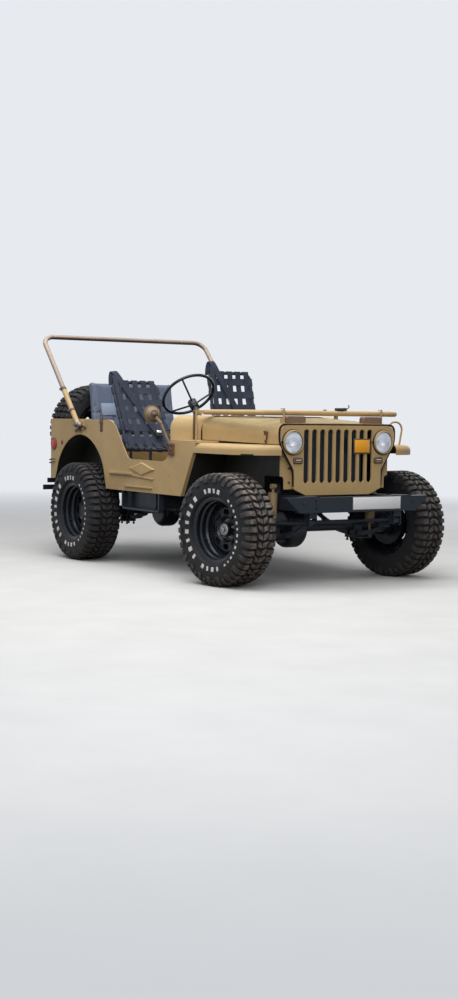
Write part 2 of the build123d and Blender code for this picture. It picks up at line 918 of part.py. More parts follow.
# Side pressings: a raised lozenge and three ribs, by middle ahead of rear axle, height, length, width, tilt
lozenge_x = rear_axle_x + lozenge_ahead
with BuildPart() as flank_pressings:
    for side in (-1, 1):
        with BuildSketch(Plane.XZ.offset(-side * (tub_half - 1))):
            with BuildLine():
                Polyline(
                    (lozenge_x - lozenge_half, lozenge_z),
                    (lozenge_x, lozenge_z + lozenge_rise),
                    (lozenge_x + lozenge_half, lozenge_z),
                    (lozenge_x, lozenge_z - lozenge_rise),
                    close=True,
                )
            make_face()
        extrude(amount=-side * (pressing + 1), taper=40)
    for distance, rib_z, length, width, rib_tilt in flank_ribs:
        with BuildSketch(Plane.XZ.offset(tub_half - 1)):
            with Locations((rear_axle_x + distance, rib_z)):
                SlotOverall(length, width, rotation=rib_tilt)
        extrude(amount=min(rib_stand, width) + 1)
    mirror(about=Plane.XZ)

cut_y = tub_half - tub_corner
with BuildPart() as tub_side_right:
    add(tub_skin.part)
    add(flank_pressings.part)
    block(ahead(-tail_back) - 1, nose_x + 1, -tub_half - 40, -cut_y, tub_bottom, tub_top, Mode.INTERSECT)
with BuildPart() as rear_panel:
    add(tub_skin.part)
    block(ahead(-tail_back) - 1, nose_x + 1, -cut_y, cut_y, tub_bottom, tub_top, Mode.INTERSECT)

# Floor with its toe-board and the two wheelhouses, open below over the rear tyres
floor_half = tub_half - sheet


# Outline of the wheel opening, grown outwards
def arch_face(grow, low):
    with BuildSketch(Plane.XZ) as outline:
        with BuildLine():
            ThreePointArc(
                (arch_x - arch_half - grow, arch_knee),
                (arch_x, arch_top + grow),
                (arch_x + arch_half + grow, arch_knee),
            )
            Polyline(
                (arch_x + arch_half + grow, arch_knee),
                (arch_x + arch_foot + grow, low),
                (arch_x - arch_foot - grow, low),
                (arch_x - arch_half - grow, arch_knee),
            )
        make_face()
    return outline.sketch


with BuildPart() as tub_floor:
    with BuildSketch(Plane.XY.offset(frame_top)):
        add(tub_plan(sheet, ahead(-toe_back)))
    extrude(amount=floor_sheet)
    house_outer = Pos(0, -floor_half, 0) * arch_face(wheelhouse_lip, frame_top)
    extrude(house_outer, amount=-(floor_half - wheelhouse_inner))
    house_inner = Pos(0, -floor_half - 1, 0) * arch_face(wheelhouse_lip - floor_sheet, frame_top - 1)
    extrude(house_inner, amount=-(floor_half - wheelhouse_inner - floor_sheet + 1), mode=Mode.SUBTRACT)
    with BuildPart(mode=Mode.PRIVATE) as far_side:
        extrude(Pos(0, floor_half, 0) * arch_face(wheelhouse_lip, frame_top), amount=floor_half - wheelhouse_inner)
    with BuildPart(mode=Mode.PRIVATE) as far_room:
        inner_far = Pos(0, floor_half + 1, 0) * arch_face(wheelhouse_lip - floor_sheet, frame_top - 1)
        extrude(inner_far, amount=floor_half - wheelhouse_inner - floor_sheet + 1)
    add(far_side.part)
    add(far_room.part, mode=Mode.SUBTRACT)
    with BuildSketch(Plane.XZ.offset(-floor_half)):
        with BuildLine():
            Polyline(
                (ahead(-toe_back), frame_top),
                (ahead(-bonnet_back), toe_top),
                (ahead(-bonnet_back) - floor_sheet, toe_top),
                (ahead(-toe_back) - floor_sheet, frame_top + floor_sheet),
                (ahead(-toe_back) - floor_sheet, frame_top),
                close=True,
            )
        make_face()
    extrude(amount=2 * floor_half)
pieces["tub_floor"] = tub_floor.part


# Rectangle with rounded upper corners, standing across the car
def arched(x, half, low, top, corner):
    with BuildSketch(Plane.YZ.offset(x)) as section:
        with BuildLine():
            FilletPolyline((-half, low), (-half, top), (half, top), (half, low), radius=corner)
            Line((half, low), (-half, low))
        make_face()
    return section.sketch


# Cowl: a hollow taper from the dash to the back of the bonnet, with dash plate, firewall and ledges
with BuildPart() as cowl:
    dash = arched(ahead(-dash_back), tub_half, cowl_base, cowl_top, cowl_corner)
    bulkhead = arched(ahead(-bonnet_back), bonnet_rear_half, cowl_base, bonnet_rear_top, bonnet_corner)
    loft(sections=(dash, bulkhead))
    inner_dash = arched(
        ahead(-dash_back) + dash_plate,
        tub_half - 2 * skew_wall,
        cowl_base - 1,
        cowl_top - sheet,
        cowl_corner - sheet,
    )
    inner_bulkhead = arched(
        ahead(-bonnet_back) - sheet,
        bonnet_rear_half - sheet,
        cowl_base - 1,
        bonnet_rear_top - sheet,
        bonnet_corner - sheet,
    )
    loft(sections=(inner_dash, inner_bulkhead), mode=Mode.SUBTRACT)
    block(ahead(-dash_back), ahead(-dash_back) + dash_plate, -floor_half, floor_half, dash_low, cowl_base)
    block(ahead(-bonnet_back) - sheet, ahead(-bonnet_back), -floor_half, floor_half, toe_top, cowl_base)
    for side in (-1, 1):
        y_low, y_high = sorted((side * (bonnet_rear_half - skew_wall), side * floor_half))
        block(ahead(-dash_back), nose_x, y_low, y_high, cowl_base - sheet, cowl_base)
        y_low, y_high = sorted((side * (bonnet_rear_half - skew_wall), side * tub_half))
        block(nose_x, nose_x + sheet, y_low, y_high, fender_top, cowl_base)

# Bonnet: one hollow taper, with a flat lip reaching forward over the grille
bonnet_nose = ahead(grille_face - grille_depth - panel_gap)
with BuildPart() as bonnet:
    rear = ahead(-bonnet_back) + panel_gap
    inner_corner = bonnet_corner - sheet
    loft(
        sections=(
            arched(rear, bonnet_rear_half, bonnet_rear_low, bonnet_rear_top, bonnet_corner),
            arched(bonnet_nose, bonnet_front_half, bonnet_front_low, bonnet_front_top, bonnet_corner),
        )
    )
    loft(
        sections=(
            arched(rear, bonnet_rear_half - sheet, bonnet_rear_low - 1, bonnet_rear_top - sheet, inner_corner),
            arched(bonnet_nose, bonnet_front_half - sheet, bonnet_front_low - 1, bonnet_front_top - sheet, inner_corner),
        ),
        mode=Mode.SUBTRACT,
    )
    lip_front = ahead(grille_face)
    block(bonnet_nose - sheet, lip_front, -bonnet_lip_half, bonnet_lip_half, bonnet_front_top - sheet, bonnet_front_top)

# Grille: a pressed sheet with a turned-back edge, nine flanged slots and two lamp holes
slot_middle = (slot_bottom + slot_top) / 2
with BuildPart() as grille:
    with BuildSketch(Plane.YZ.offset(ahead(grille_face - grille_depth))) as grille_plan:
        with BuildLine():
            right_edge = FilletPolyline(
                (0, grille_top),
                (lobe_half, grille_top),
                (lobe_half, lobe_low),
                (neck_half, neck_top),
                (neck_half, neck_low),
                (foot_half, grille_bottom),
                (0, grille_bottom),
                radius=(grille_corner, 30, 30, 12, 12),
            )
            mirror(right_edge, about=Plane.YZ)
        make_face()
    extrude(amount=grille_depth)
    with BuildSketch(Plane.YZ.offset(ahead(grille_face - grille_depth))) as grille_pocket:
        add(grille_plan.sketch_local)
        offset(amount=-grille_sheet, mode=Mode.REPLACE)
    extrude(grille_pocket.sketch, amount=grille_depth - grille_sheet, mode=Mode.SUBTRACT)
    with BuildSketch(Plane.YZ.offset(ahead(grille_face) - slot_flange_depth)) as flanges:
        with Locations((0, slot_middle)):
            with GridLocations(slot_pitch, 0, slot_count, 1):
                SlotOverall(slot_top - slot_bottom + 2 * slot_flange, slot_width + 2 * slot_flange, rotation=90)
    extrude(flanges.sketch, amount=slot_flange_depth - grille_sheet)
    with BuildSketch(Plane.YZ.offset(ahead(grille_face) - slot_flange_depth)) as slots:
        with Locations((0, slot_middle)):
            with GridLocations(slot_pitch, 0, slot_count, 1):
                SlotOverall(slot_top - slot_bottom, slot_width, rotation=90)
        with GridLocations(2 * lamp_y, 0, 2, 1):
            with Locations((0, lamp_z)):
                Circle(lens_radius)
    extrude(slots.sketch, amount=slot_flange_depth + 1, mode=Mode.SUBTRACT)
pieces["grille"] = grille.part

# Headlamps: a drum with a rolled rim on the grille face, and a domed glass in each
lamp_face = ahead(grille_face)
with BuildPart() as lamp_pattern:
    with BuildSketch(Plane.XY):
        with BuildLine():
            Polyline(
                (-lamp_depth, 0),
                (-lamp_depth, lens_radius * 0.6),
                (-lamp_depth * 0.4, lens_radius - 9),
                (-grille_sheet, lens_radius - 1),
                (0, lens_radius - 1),
                (0, lamp_radius),
                (lamp_rim * 0.6, lamp_radius),
                (lamp_rim, lens_radius + 3),
                (lamp_rim, lens_radius - 2),
                (lamp_rim * 0.4, lens_radius - 4),
                (-lamp_depth * 0.4, lens_radius - 13),
                (-lamp_depth + 4, lens_radius * 0.55),
                (-lamp_depth + 4, 0),
                close=True,
            )
        make_face()
    revolve(axis=Axis.X)
lens_curve = ((lens_radius - 2) ** 2 + lens_dome**2) / (2 * lens_dome)
lens_centre = lamp_rim + lens_dome - lens_curve
lens_angle = atan2(lens_radius - 2, lens_curve - lens_dome)
with BuildPart() as lens_pattern:
    with BuildSketch(Plane.XY):
        with BuildLine():
            Polyline((lamp_rim * 0.4, 0), (lamp_rim * 0.4, lens_radius - 4), (lamp_rim, lens_radius - 2))
            ThreePointArc(
                (lamp_rim, lens_radius - 2),
                (lens_centre + lens_curve * cos(lens_angle / 2), lens_curve * sin(lens_angle / 2)),
                (lamp_rim + lens_dome, 0),
            )
            Line((lamp_rim + lens_dome, 0), (lamp_rim * 0.4, 0))
        make_face()
    revolve(axis=Axis.X)
with BuildPart() as headlamps:
    with Locations((lamp_face, -lamp_y, lamp_z), (lamp_face, lamp_y, lamp_z)):
        add(lamp_pattern.part)
with BuildPart() as headlamp_lenses:
    with Locations((lamp_face, -lamp_y, lamp_z), (lamp_face, lamp_y, lamp_z)):
        add(lens_pattern.part)
pieces["headlamps"] = headlamps.part
pieces["headlamp_lenses"] = headlamp_lenses.part

# Small marker lamps below the headlamps, and the round reflectors on the tail corners
with BuildPart() as marker_lamps:
    with BuildSketch(Plane.YZ.offset(lamp_face)):
        with Locations((-marker_y, marker_z), (marker_y, marker_z)):
            RectangleRounded(marker_width, marker_height, 9)
    extrude(amount=12)
    with BuildSketch(Plane.YZ.offset(lamp_face + 12)):
        with Locations((-marker_y, marker_z + 3), (marker_y, marker_z + 3)):
            SlotOverall(marker_width - 16, 12)
    extrude(amount=3)
with BuildPart() as tail_reflectors:
    with BuildSketch(Plane.XZ.offset(tub_half)):
        with Locations((ahead(-tail_back) + reflector_edge, reflector_z)):
            Circle(reflector_radius)
    extrude(amount=8)
    with BuildSketch(Plane.XZ.offset(tub_half + 8)):
        with Locations((ahead(-tail_back) + reflector_edge, reflector_z)):
            Circle(reflector_radius - 9)
    extrude(amount=3)
    mirror(about=Plane.XZ)
pieces["marker_lamps"] = marker_lamps.part + tail_reflectors.part

# Front fenders: flat top with a rolled edge, notched apron turned in behind the grille, and drop plate
with BuildPart() as behind_nose:
    with BuildSketch(Plane.XZ):
        with BuildLine():
            Polyline(
                (ahead(-side_nose_low), tub_bottom),
                (nose_x, cowl_base),
                (ahead(-dash_back), cowl_base),
                (ahead(-dash_back), tub_bottom),
                close=True,
            )
        make_face()
    extrude(amount=tub_half + 1, both=True)


fender_corner = tub_half - fender_inner_front


def fender_plan(inset, inward):
    nose = ahead(fender_nose) - inset
    outer = -tub_half + inset
    back = ahead(-side_nose_low)
    with BuildSketch() as plan:
        with BuildLine():
            Line((back, -apron_y + inward), (back, outer))
            FilletPolyline(
                (back, outer),
                (nose, outer),
                (nose, -fender_inner_front + inward),
                radius=fender_corner - inset,
            )
            Polyline(
                (nose, -fender_inner_front + inward),
                (bonnet_nose, -fender_inner_front + inward),
                (bonnet_nose, -apron_y + inward),
                (back, -apron_y + inward),
            )
        make_face()
    return plan.sketch


with BuildPart() as fender_right:
    with BuildSketch(Plane.XY.offset(fender_lip)):
        add(fender_plan(0, 0))
    extrude(amount=fender_top - fender_lip)
    top_edges = fender_right.edges().group_by(Axis.Z)[-1]
    fillet(top_edges.filter_by_position(Axis.Y, -tub_half - 1, -apron_y - 31 - 1), fender_roll)
    with BuildPart(mode=Mode.PRIVATE) as fender_core:
        with BuildSketch(Plane.XY.offset(fender_lip - 1)):
            add(fender_plan(sheet, 40))
        extrude(amount=fender_top - sheet - fender_lip + 1)
        core_edges = fender_core.edges().group_by(Axis.Z)[-1]
        fillet(core_edges.filter_by_position(Axis.Y, -tub_half - 1, -apron_y - 31 - 1), fender_roll - sheet)
    add(fender_core.part, mode=Mode.SUBTRACT)
    with BuildSketch(Plane.XZ.offset(apron_y - sheet)):
        with BuildLine():
            Polyline(
                (ahead(-bonnet_back), fender_top),
                (ahead(-bonnet_back), apron_low),
                (bonnet_nose, apron_low),
                (bonnet_nose, fender_top),
                close=True,
            )
        make_face()
        with Locations((ahead(notch_back) + apron_low / 2, notch_top - apron_low / 2)):
            RectangleRounded(apron_low, apron_low, notch_corner, mode=Mode.SUBTRACT)
    extrude(amount=sheet)
    with BuildSketch(Plane.YZ.offset(bonnet_nose - sheet)):
        with BuildLine():
            Polyline(
                (-apron_y, fender_top - sheet),
                (-apron_y, apron_low),
                (-apron_return, apron_low),
                (-apron_return, fender_top - sheet),
                close=True,
            )
        make_face()
        with Locations((-apron_y + notch_return - apron_low / 2, notch_top - apron_low / 2)):
            RectangleRounded(apron_low, apron_low, notch_corner, mode=Mode.SUBTRACT)
        with Locations((-lamp_y, lamp_z)):
            Circle(lens_radius + panel_gap, mode=Mode.SUBTRACT)
    extrude(amount=sheet)
    with BuildSketch(Plane.XZ.offset(drop_plate_y)):
        with BuildLine():
            Polyline(
                (ahead(-side_nose_low), tub_bottom),
                (ahead(-side_nose_low) + sheet, tub_bottom),
                (nose_x + sheet, cowl_base),
                (nose_x, cowl_base),
                close=True,
            )
        make_face()
    extrude(amount=tub_half - drop_plate_y)
    block(nose_x - 60, nose_x + 20, -tub_half - 1, -drop_plate_y + 1, fender_top, cowl_base + 1, Mode.SUBTRACT)
    add(behind_nose.part, mode=Mode.SUBTRACT)
with BuildPart() as fender_left:
    add(fender_right.part)
    mirror(about=Plane.XZ, mode=Mode.REPLACE)
pieces["fender_right"] = fender_right.part

# Bent rod guard standing on the left fender
guard_x = ahead(guard_ahead)
with BuildPart() as fender_guard:
    guard_path = (
        (guard_x, guard_inner, fender_top),
        (guard_x, guard_inner, guard_top),
        (guard_x, guard_outer, guard_top),
        (guard_x, guard_outer - 30, fender_top),
    )
    tube_along(guard_path, guard_rod, 52)
pieces["fender_left"] = fender_left.part + fender_guard.part

# Wooden rest blocks on the bonnet, with the steel catch hooks beside them
block_x = ahead(block_ahead)
bonnet_fall = (bonnet_rear_top - bonnet_front_top) / (rear - bonnet_nose)
bonnet_z = bonnet_front_top + bonnet_fall * (block_x - block_length / 2 - bonnet_nose)
with BuildPart() as bonnet_blocks:
    for side in (-1, 1):
        y_low, y_high = sorted((side * block_inner, side * block_outer))
        block(block_x - block_length / 2, block_x + block_length / 2, y_low, y_high, bonnet_z, block_top)
    chamfer(bonnet_blocks.edges().filter_by(Axis.X).group_by(Axis.Z)[-1], 12)
hook_y = block_outer + 12
with BuildPart() as screen_catches:
    for side in (-1, 1):
        hook_sides = (side * hook_y - hook_width / 2, side * hook_y + hook_width / 2)
        hook_foot = block_top - 18
        hook_top = block_top + hook_rise
        block(block_x - 30, block_x + 10, *hook_sides, bonnet_front_top - 20, hook_foot)
        block(block_x + 10 - hook_bar, block_x + 10, *hook_sides, hook_foot, hook_top)
        block(block_x - 26, block_x + 10, *hook_sides, hook_top - hook_bar, hook_top)
pieces["bonnet_blocks"] = bonnet_blocks.part
pieces["bonnet"] = bonnet.part + screen_catches.part

# Windscreen folded forward: tube frame, centre bar, two panes, hinge lugs
pivot_x = ahead(-screen_pivot_back)
rail_x = pivot_x + screen_rail
head_x = pivot_x + screen_length - screen_tube
side_tube_y = screen_half - screen_tube
with BuildPart() as windscreen_frame:
    with BuildLine() as screen_loop:
        FilletPolyline(
            (rail_x, -side_tube_y, screen_pivot_z),
            (head_x, -side_tube_y, screen_pivot_z),
            (head_x, side_tube_y, screen_pivot_z),
            (rail_x, side_tube_y, screen_pivot_z),
            radius=screen_corner,
            close=True,
        )
    with BuildSketch(Plane(origin=screen_loop.line @ 0, z_dir=screen_loop.line % 0)) as screen_section:
        Circle(screen_tube)
    sweep(screen_section.sketch, path=screen_loop.line)
    bar_between((rail_x, 0, screen_pivot_z), (head_x, 0, screen_pivot_z), screen_bar)
    for side in (-1, 1):
        y_low, y_high = sorted((side * screen_half, side * (screen_half - lug_thickness)))
        block(pivot_x, rail_x + screen_corner + lug_thickness, y_low, y_high, screen_pivot_z - 12, screen_pivot_z + 12)
        with Locations(Location((pivot_x, (y_low + y_high) / 2, screen_pivot_z), (90, 0, 0))):
            Cylinder(14, lug_thickness)
            Cylinder(pin_radius + hinge_play, 2 * lug_thickness, mode=Mode.SUBTRACT)
with BuildPart() as windscreen_glass:
    pane_back = rail_x + screen_tube - glass_seat
    pane_front = head_x - screen_tube + glass_seat
    pane_inner = screen_bar - glass_seat
    pane_outer = side_tube_y - screen_tube + glass_seat
    with BuildSketch(Plane.XY.offset(screen_pivot_z - glass_thickness / 2)):
        for side in (-1, 1):
            with Locations(((pane_back + pane_front) / 2, side * (pane_inner + pane_outer) / 2)):
                RectangleRounded(pane_front - pane_back, pane_outer - pane_inner, screen_corner - screen_tube)
    extrude(amount=glass_thickness)
pieces["windscreen_frame"] = windscreen_frame.part.cut(windscreen_glass.part)
pieces["windscreen_glass"] = windscreen_glass.part

# Windscreen posts on the ledges, each with its hinge pin
with BuildPart() as screen_posts:
    for side in (-1, 1):
        inner = screen_half + 2 * sheet
        y_low, y_high = sorted((side * inner, side * (inner + post_thickness)))
        post_top = screen_pivot_z + post_width / 2
        block(pivot_x - post_width / 2, pivot_x + post_width / 2, y_low, y_high, cowl_base, post_top)
        pin_start = (pivot_x, side * (screen_half - lug_thickness - 4), screen_pivot_z)
        bar_between(pin_start, (pivot_x, side * inner, screen_pivot_z), pin_radius)
pieces["cowl"] = cowl.part + screen_posts.part

# Folding top bow: one bent tube, its eyes on pins at the tub sides
bow_x = ahead(-tail_back) + bow_pivot_ahead
bow_y = tub_half + bow_plate + bow_gap + bow_eye_thickness / 2
bow_points = (
    (bow_x, -bow_y, bow_pivot_z),
    (bow_x - bow_back, -bow_y, bow_pivot_z + bow_rise),
    (bow_x - bow_back, bow_y, bow_pivot_z + bow_rise),
    (bow_x, bow_y, bow_pivot_z),
)
with BuildPart() as top_bow:
    tube_along(bow_points, bow_tube, bow_corner)
    for side in (-1, 1):
        with Locations(Location((bow_x, side * bow_y, bow_pivot_z), (90, 0, 0))):
            Cylinder(bow_eye, bow_eye_thickness)
    for side in (-1, 1):
        with Locations(Location((bow_x, side * bow_y, bow_pivot_z), (90, 0, 0))):
            Cylinder(pin_radius + hinge_play, 3 * bow_eye, mode=Mode.SUBTRACT)
pieces["top_bow"] = top_bow.part
with BuildPart() as bow_pivot_right:
    block(bow_x - 45, bow_x + 45, -tub_half - bow_plate, -tub_half, bow_pivot_z - 32, bow_pivot_z + 32)
    pin_end = (bow_x, -bow_y - bow_eye_thickness / 2 - 6, bow_pivot_z)
    bar_between((bow_x, -tub_half - bow_plate, bow_pivot_z), pin_end, pin_radius)
pieces["tub_side_right"] = tub_side_right.part + bow_pivot_right.part
pieces["tub_side_left"] = mirror(pieces["tub_side_right"], about=Plane.XZ)

# Seats: bent tube frame with a webbing net over seat and back
seat_table = (
    ("driver_seat", -seat_y, driver_recline, 0),
    ("passenger_seat", seat_y, passenger_recline, passenger_lift),
)
seat_foot_x = rear_axle_x + seat_foot_ahead
net_width = 2 * (seat_half - seat_tube)
for seat_name, middle, recline, lift in seat_table:
    lean = Vector(-sin(radians(recline)), 0, cos(radians(recline)))
    foot = Vector(seat_foot_x, middle, seat_base_z + lift)
    head = foot + lean * seat_back_length
    front = foot + Vector(seat_depth, 0, 0)
    across = Vector(0, seat_half, 0)
    with BuildPart() as seat_frame:
        tube_along((foot - across, head - across, head + across, foot + across), seat_tube, seat_bend)
        tube_along((foot - across, front - across, front + across, foot + across), seat_tube - 1, seat_bend)
        bar_between(foot - across, foot + across, seat_tube - 3)
        for leg_x in (foot.X + seat_bend, front.X - seat_bend):
            for leg_y in (middle - seat_half, middle + seat_half):
                bar_between((leg_x, leg_y, frame_top + floor_sheet), (leg_x, leg_y, foot.Z), seat_tube - 2)
    with BuildPart() as seat_net:
        for along, run in ((lean, seat_back_length), (Vector(1, 0, 0), seat_depth)):
            net_run = run - 2 * seat_tube
            rows = round(net_run / web_pitch)
            with BuildSketch(Plane(origin=foot, x_dir=(0, 1, 0), z_dir=Vector(0, 1, 0).cross(along))):
                with Locations((0, run / 2)):
                    RectangleRounded(net_width, net_run, seat_bend - seat_tube)
                    with GridLocations(net_width / web_columns * 0.94, net_run / rows * 0.96, web_columns, rows):
                        RectangleRounded(web_hole, web_hole, 6, mode=Mode.SUBTRACT)
            extrude(amount=webbing / 2, both=True)
    pieces[seat_name + "_frame"] = seat_frame.part
    pieces[seat_name + "_net"] = seat_net.part

# Belts: a pointed loop over the right shoulder of each seat and a strap slanting down from it
with BuildPart() as seat_belts:
    for seat_name, middle, recline, lift in seat_table:
        lean = Vector(-sin(radians(recline)), 0, cos(radians(recline)))
        facing = Vector(0, 1, 0).cross(lean) * -1
        corner = Vector(seat_foot_x, middle - seat_half, seat_base_z + lift) + lean * seat_back_length
        stand_off = seat_tube + webbing + running_gap
        with BuildSketch(Plane(origin=corner - facing * -stand_off, x_dir=(0, 1, 0), z_dir=facing * -1)):
            with BuildLine():
                Polyline(
                    (-belt_width / 2, -belt_width),
                    (-belt_width / 3, loop_height * 0.6),
                    (loop_width * 0.3, loop_height),
                    (loop_width * 0.75, loop_height * 0.6),
                    (loop_width, -belt_width),
                    (seat_half * 1.5, -seat_back_length * 0.72),
                    (seat_half * 1.5 - belt_width, -seat_back_length * 0.72),
                    (loop_width - belt_width, -belt_width),
                    close=True,
                )
            make_face()
            with BuildLine():
                Polyline(
                    (belt_width * 0.35, 0),
                    (belt_width * 0.4, loop_height * 0.55),
                    (loop_width * 0.3, loop_height * 0.72),
                    (loop_width * 0.52, loop_height * 0.5),
                    (loop_width * 0.56, 0),
                    close=True,
                )
            make_face(mode=Mode.SUBTRACT)
        extrude(amount=webbing)
pieces["seat_belts"] = seat_belts.part

# Rear bench: a cushion and a taller backrest on a tube stand between the wheelhouses
with BuildPart() as bench_cushion:
    with BuildSketch(Plane.XZ.offset(-bench_half)):
        with Locations((ahead(-(bench_front + bench_rear) / 2), bench_cushion_top - bench_pad / 2)):
            RectangleRounded(bench_rear - bench_front, bench_pad, 30)
    extrude(amount=2 * bench_half)
with BuildPart() as bench_backrest:
    lean_normal = (cos(radians(bench_lean)), 0, sin(radians(bench_lean)))
    with BuildSketch(Plane((ahead(-bench_rear), 0, bench_cushion_top), x_dir=(0, 1, 0), z_dir=lean_normal)):
        with Locations((0, (bench_top - bench_cushion_top) / 2)):
            RectangleRounded(2 * bench_half, bench_top - bench_cushion_top, 55)
    extrude(amount=-bench_back_pad)
    fillet(bench_backrest.edges().group_by(Axis.X)[-1], 14)
bench_low = bench_cushion_top - bench_pad
with BuildPart() as bench_stand:
    stand_half = bench_half - stand_inset
    for stand_y in (-stand_half, stand_half):
        stand_points = (
            (ahead(-bench_rear + stand_inset), stand_y, frame_top + floor_sheet),
            (ahead(-bench_rear + stand_inset), stand_y, bench_low - seat_tube),
            (ahead(-bench_front - stand_inset), stand_y, bench_low - seat_tube),
            (ahead(-bench_front - stand_inset), stand_y, frame_top + floor_sheet),
        )
        tube_along(stand_points, seat_tube, seat_bend)
    for stand_x in (ahead(-bench_rear + stand_tie), ahead(-bench_front - stand_tie)):
        stand_ends = ((stand_x, y, bench_low - seat_tube) for y in (-stand_half, stand_half))
        bar_between(*stand_ends, seat_tube - 2)
pieces["bench_cushion"] = bench_cushion.part
pieces["bench_backrest"] = bench_backrest.part
pieces["bench_stand"] = bench_stand.part

# Steering wheel square to its column, and the column down to the toe-board
tilt = radians(column_slope)
to_driver = Vector(-cos(tilt), 0, sin(tilt))
rim_centre = Vector(ahead(-helm_back), helm_y, helm_z)
hub_centre = rim_centre - to_driver * helm_drop
helm_plane = Plane(origin=rim_centre, x_dir=(0, 1, 0), z_dir=to_driver)
with BuildPart() as steering_wheel:
    bar_between(hub_centre - to_driver * hub_below, hub_centre + to_driver * hub_above, helm_hub_radius)
    for spoke in range(3):
        rim_points = []
        for angle in (30, 90, 150):
            turn = radians(angle + helm_turn + 120 * spoke)
            outward = helm_plane.x_dir * cos(turn) + helm_plane.y_dir * sin(turn)
            rim_points.append(rim_centre + outward * helm_radius)
        with BuildLine() as rim_third:
            ThreePointArc(*rim_points)
        with BuildSketch(Plane(origin=rim_points[0], z_dir=rim_third.line % 0)) as rim_section:
            Circle(helm_tube)
        sweep(rim_section.sketch, path=rim_third.line)
        bar_between(hub_centre + (rim_points[1] - rim_centre) * 0.1, rim_points[1], spoke_radius)
with BuildPart() as steering_column:
    column_top = hub_centre - to_driver * (hub_below + running_gap)
    toe_slope = (toe_top - frame_top - floor_sheet) / (toe_back - bonnet_back)
    toe_x = ahead(-toe_back) - floor_sheet
    toe_z = frame_top + floor_sheet
    toe_reach = (column_top.Z - toe_z - toe_slope * (column_top.X - toe_x)) / (1 + toe_slope)
    column_foot = column_top - to_driver * (toe_reach / sin(tilt) - floor_sheet)
    bar_between(column_top, column_foot, column_radius)
    with BuildSketch(Plane(origin=column_top - to_driver * 12, z_dir=to_driver)):
        Circle(column_radius + 9)
    extrude(amount=12)
pieces["steering_wheel"] = steering_wheel.part
pieces["steering_column"] = steering_column.part

# Gear and transfer levers with round knobs, and the three pedals off the toe-board
with BuildPart() as cabin_levers:
    for pedal_y in (helm_y - 110, helm_y + 105, helm_y + 215):
        bar_between((ahead(-630), pedal_y, 690), (ahead(-720), pedal_y, 780), 8)
        with Locations(Location((ahead(-722), pedal_y, 782), (0, -45, 0))):
            Box(64, 66, 10)
    for lever_x, lever_y, lever_top, knob in ((-860, 0, 930, 24), (-930, -70, 850, 18), (-930, -110, 850, 18)):
        root = (ahead(lever_x), lever_y, frame_top + floor_sheet)
        tip = (ahead(lever_x - 70), lever_y, lever_top)
        bar_between(root, tip, 9)
        with Locations(tip):
            Sphere(knob)
    block(ahead(-980), ahead(-820), -140, 40, frame_top + floor_sheet, frame_top + floor_sheet + 10)
pieces["cabin_levers"] = cabin_levers.part.cut(tub_floor.part)

# Round mirror on a bent arm from the right side, its back facing forward
with BuildPart() as side_mirror:
    mirror_x = ahead(-mirror_back)
    mirror_y = tub_half + mirror_out
    with BuildSketch(Plane.YZ.offset(mirror_x - 10)):
        with Locations((-mirror_y, mirror_z)):
            Circle(mirror_radius)
    extrude(amount=16)
    with BuildSketch(Plane.YZ.offset(mirror_x + 6)):
        with Locations((-mirror_y, mirror_z)):
            Circle(mirror_radius - 8)
    extrude(amount=24, taper=45)
    arm_points = (
        (mirror_x + 10, -mirror_y, mirror_z),
        (mirror_x + 50, -mirror_y + 40, mirror_z - 60),
        (ahead(-arm_foot_back), -tub_half - mirror_arm, arm_foot_z),
    )
    bar_between(arm_points[0], arm_points[1], mirror_arm + 3)
    bar_between(arm_points[1], arm_points[2], mirror_arm)
    with Locations(arm_points[1]):
        Sphere(mirror_arm + 3)
    foot_x = ahead(-arm_foot_back)
    block(foot_x - 45, foot_x + 25, -tub_half - mirror_arm, -tub_half, arm_foot_z - 40, arm_foot_z + 40)
pieces["side_mirror"] = side_mirror.part

# Spare wheel behind the rear panel, and its carrier welded to the panel
spare_x = ahead(-tail_back - spare_standoff - tyre_width / 2)
spare_turn = Location((spare_x, spare_y, spare_z), (0, 0, 90))
with BuildPart() as spare_tyre:
    with Locations(spare_turn):
        add(tyre_pattern.part)
with BuildPart() as spare_rim:
    with Locations(spare_turn):
        add(rim_pattern.part)
carrier_face = spare_x + disc_inset + disc_thickness
with BuildPart() as spare_carrier:
    panel_x = ahead(-tail_back)
    carrier_z = min(spare_z, tub_top - 60)
    block(panel_x - 8, panel_x, spare_y - 150, spare_y + 150, carrier_z - 190, carrier_z + 40)
    bar_between((panel_x, spare_y, carrier_z), (carrier_face + 12, spare_y, carrier_z), 48)
    with BuildSketch(Plane.YZ.offset(carrier_face)):
        with Locations((spare_y, spare_z)):
            Circle(hub_radius + 45)
    extrude(amount=12)
pieces["spare_tyre"] = spare_tyre.part
pieces["spare_rim"] = spare_rim.part
pieces["rear_panel"] = rear_panel.part + spare_carrier.part

for name, part in pieces.items():
    part.label = name
    export_step(part, "parts/" + name + ".step")
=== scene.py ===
import json
from math import cos, pi, radians, sin

import bmesh
import bpy
from mathutils import Matrix, Vector


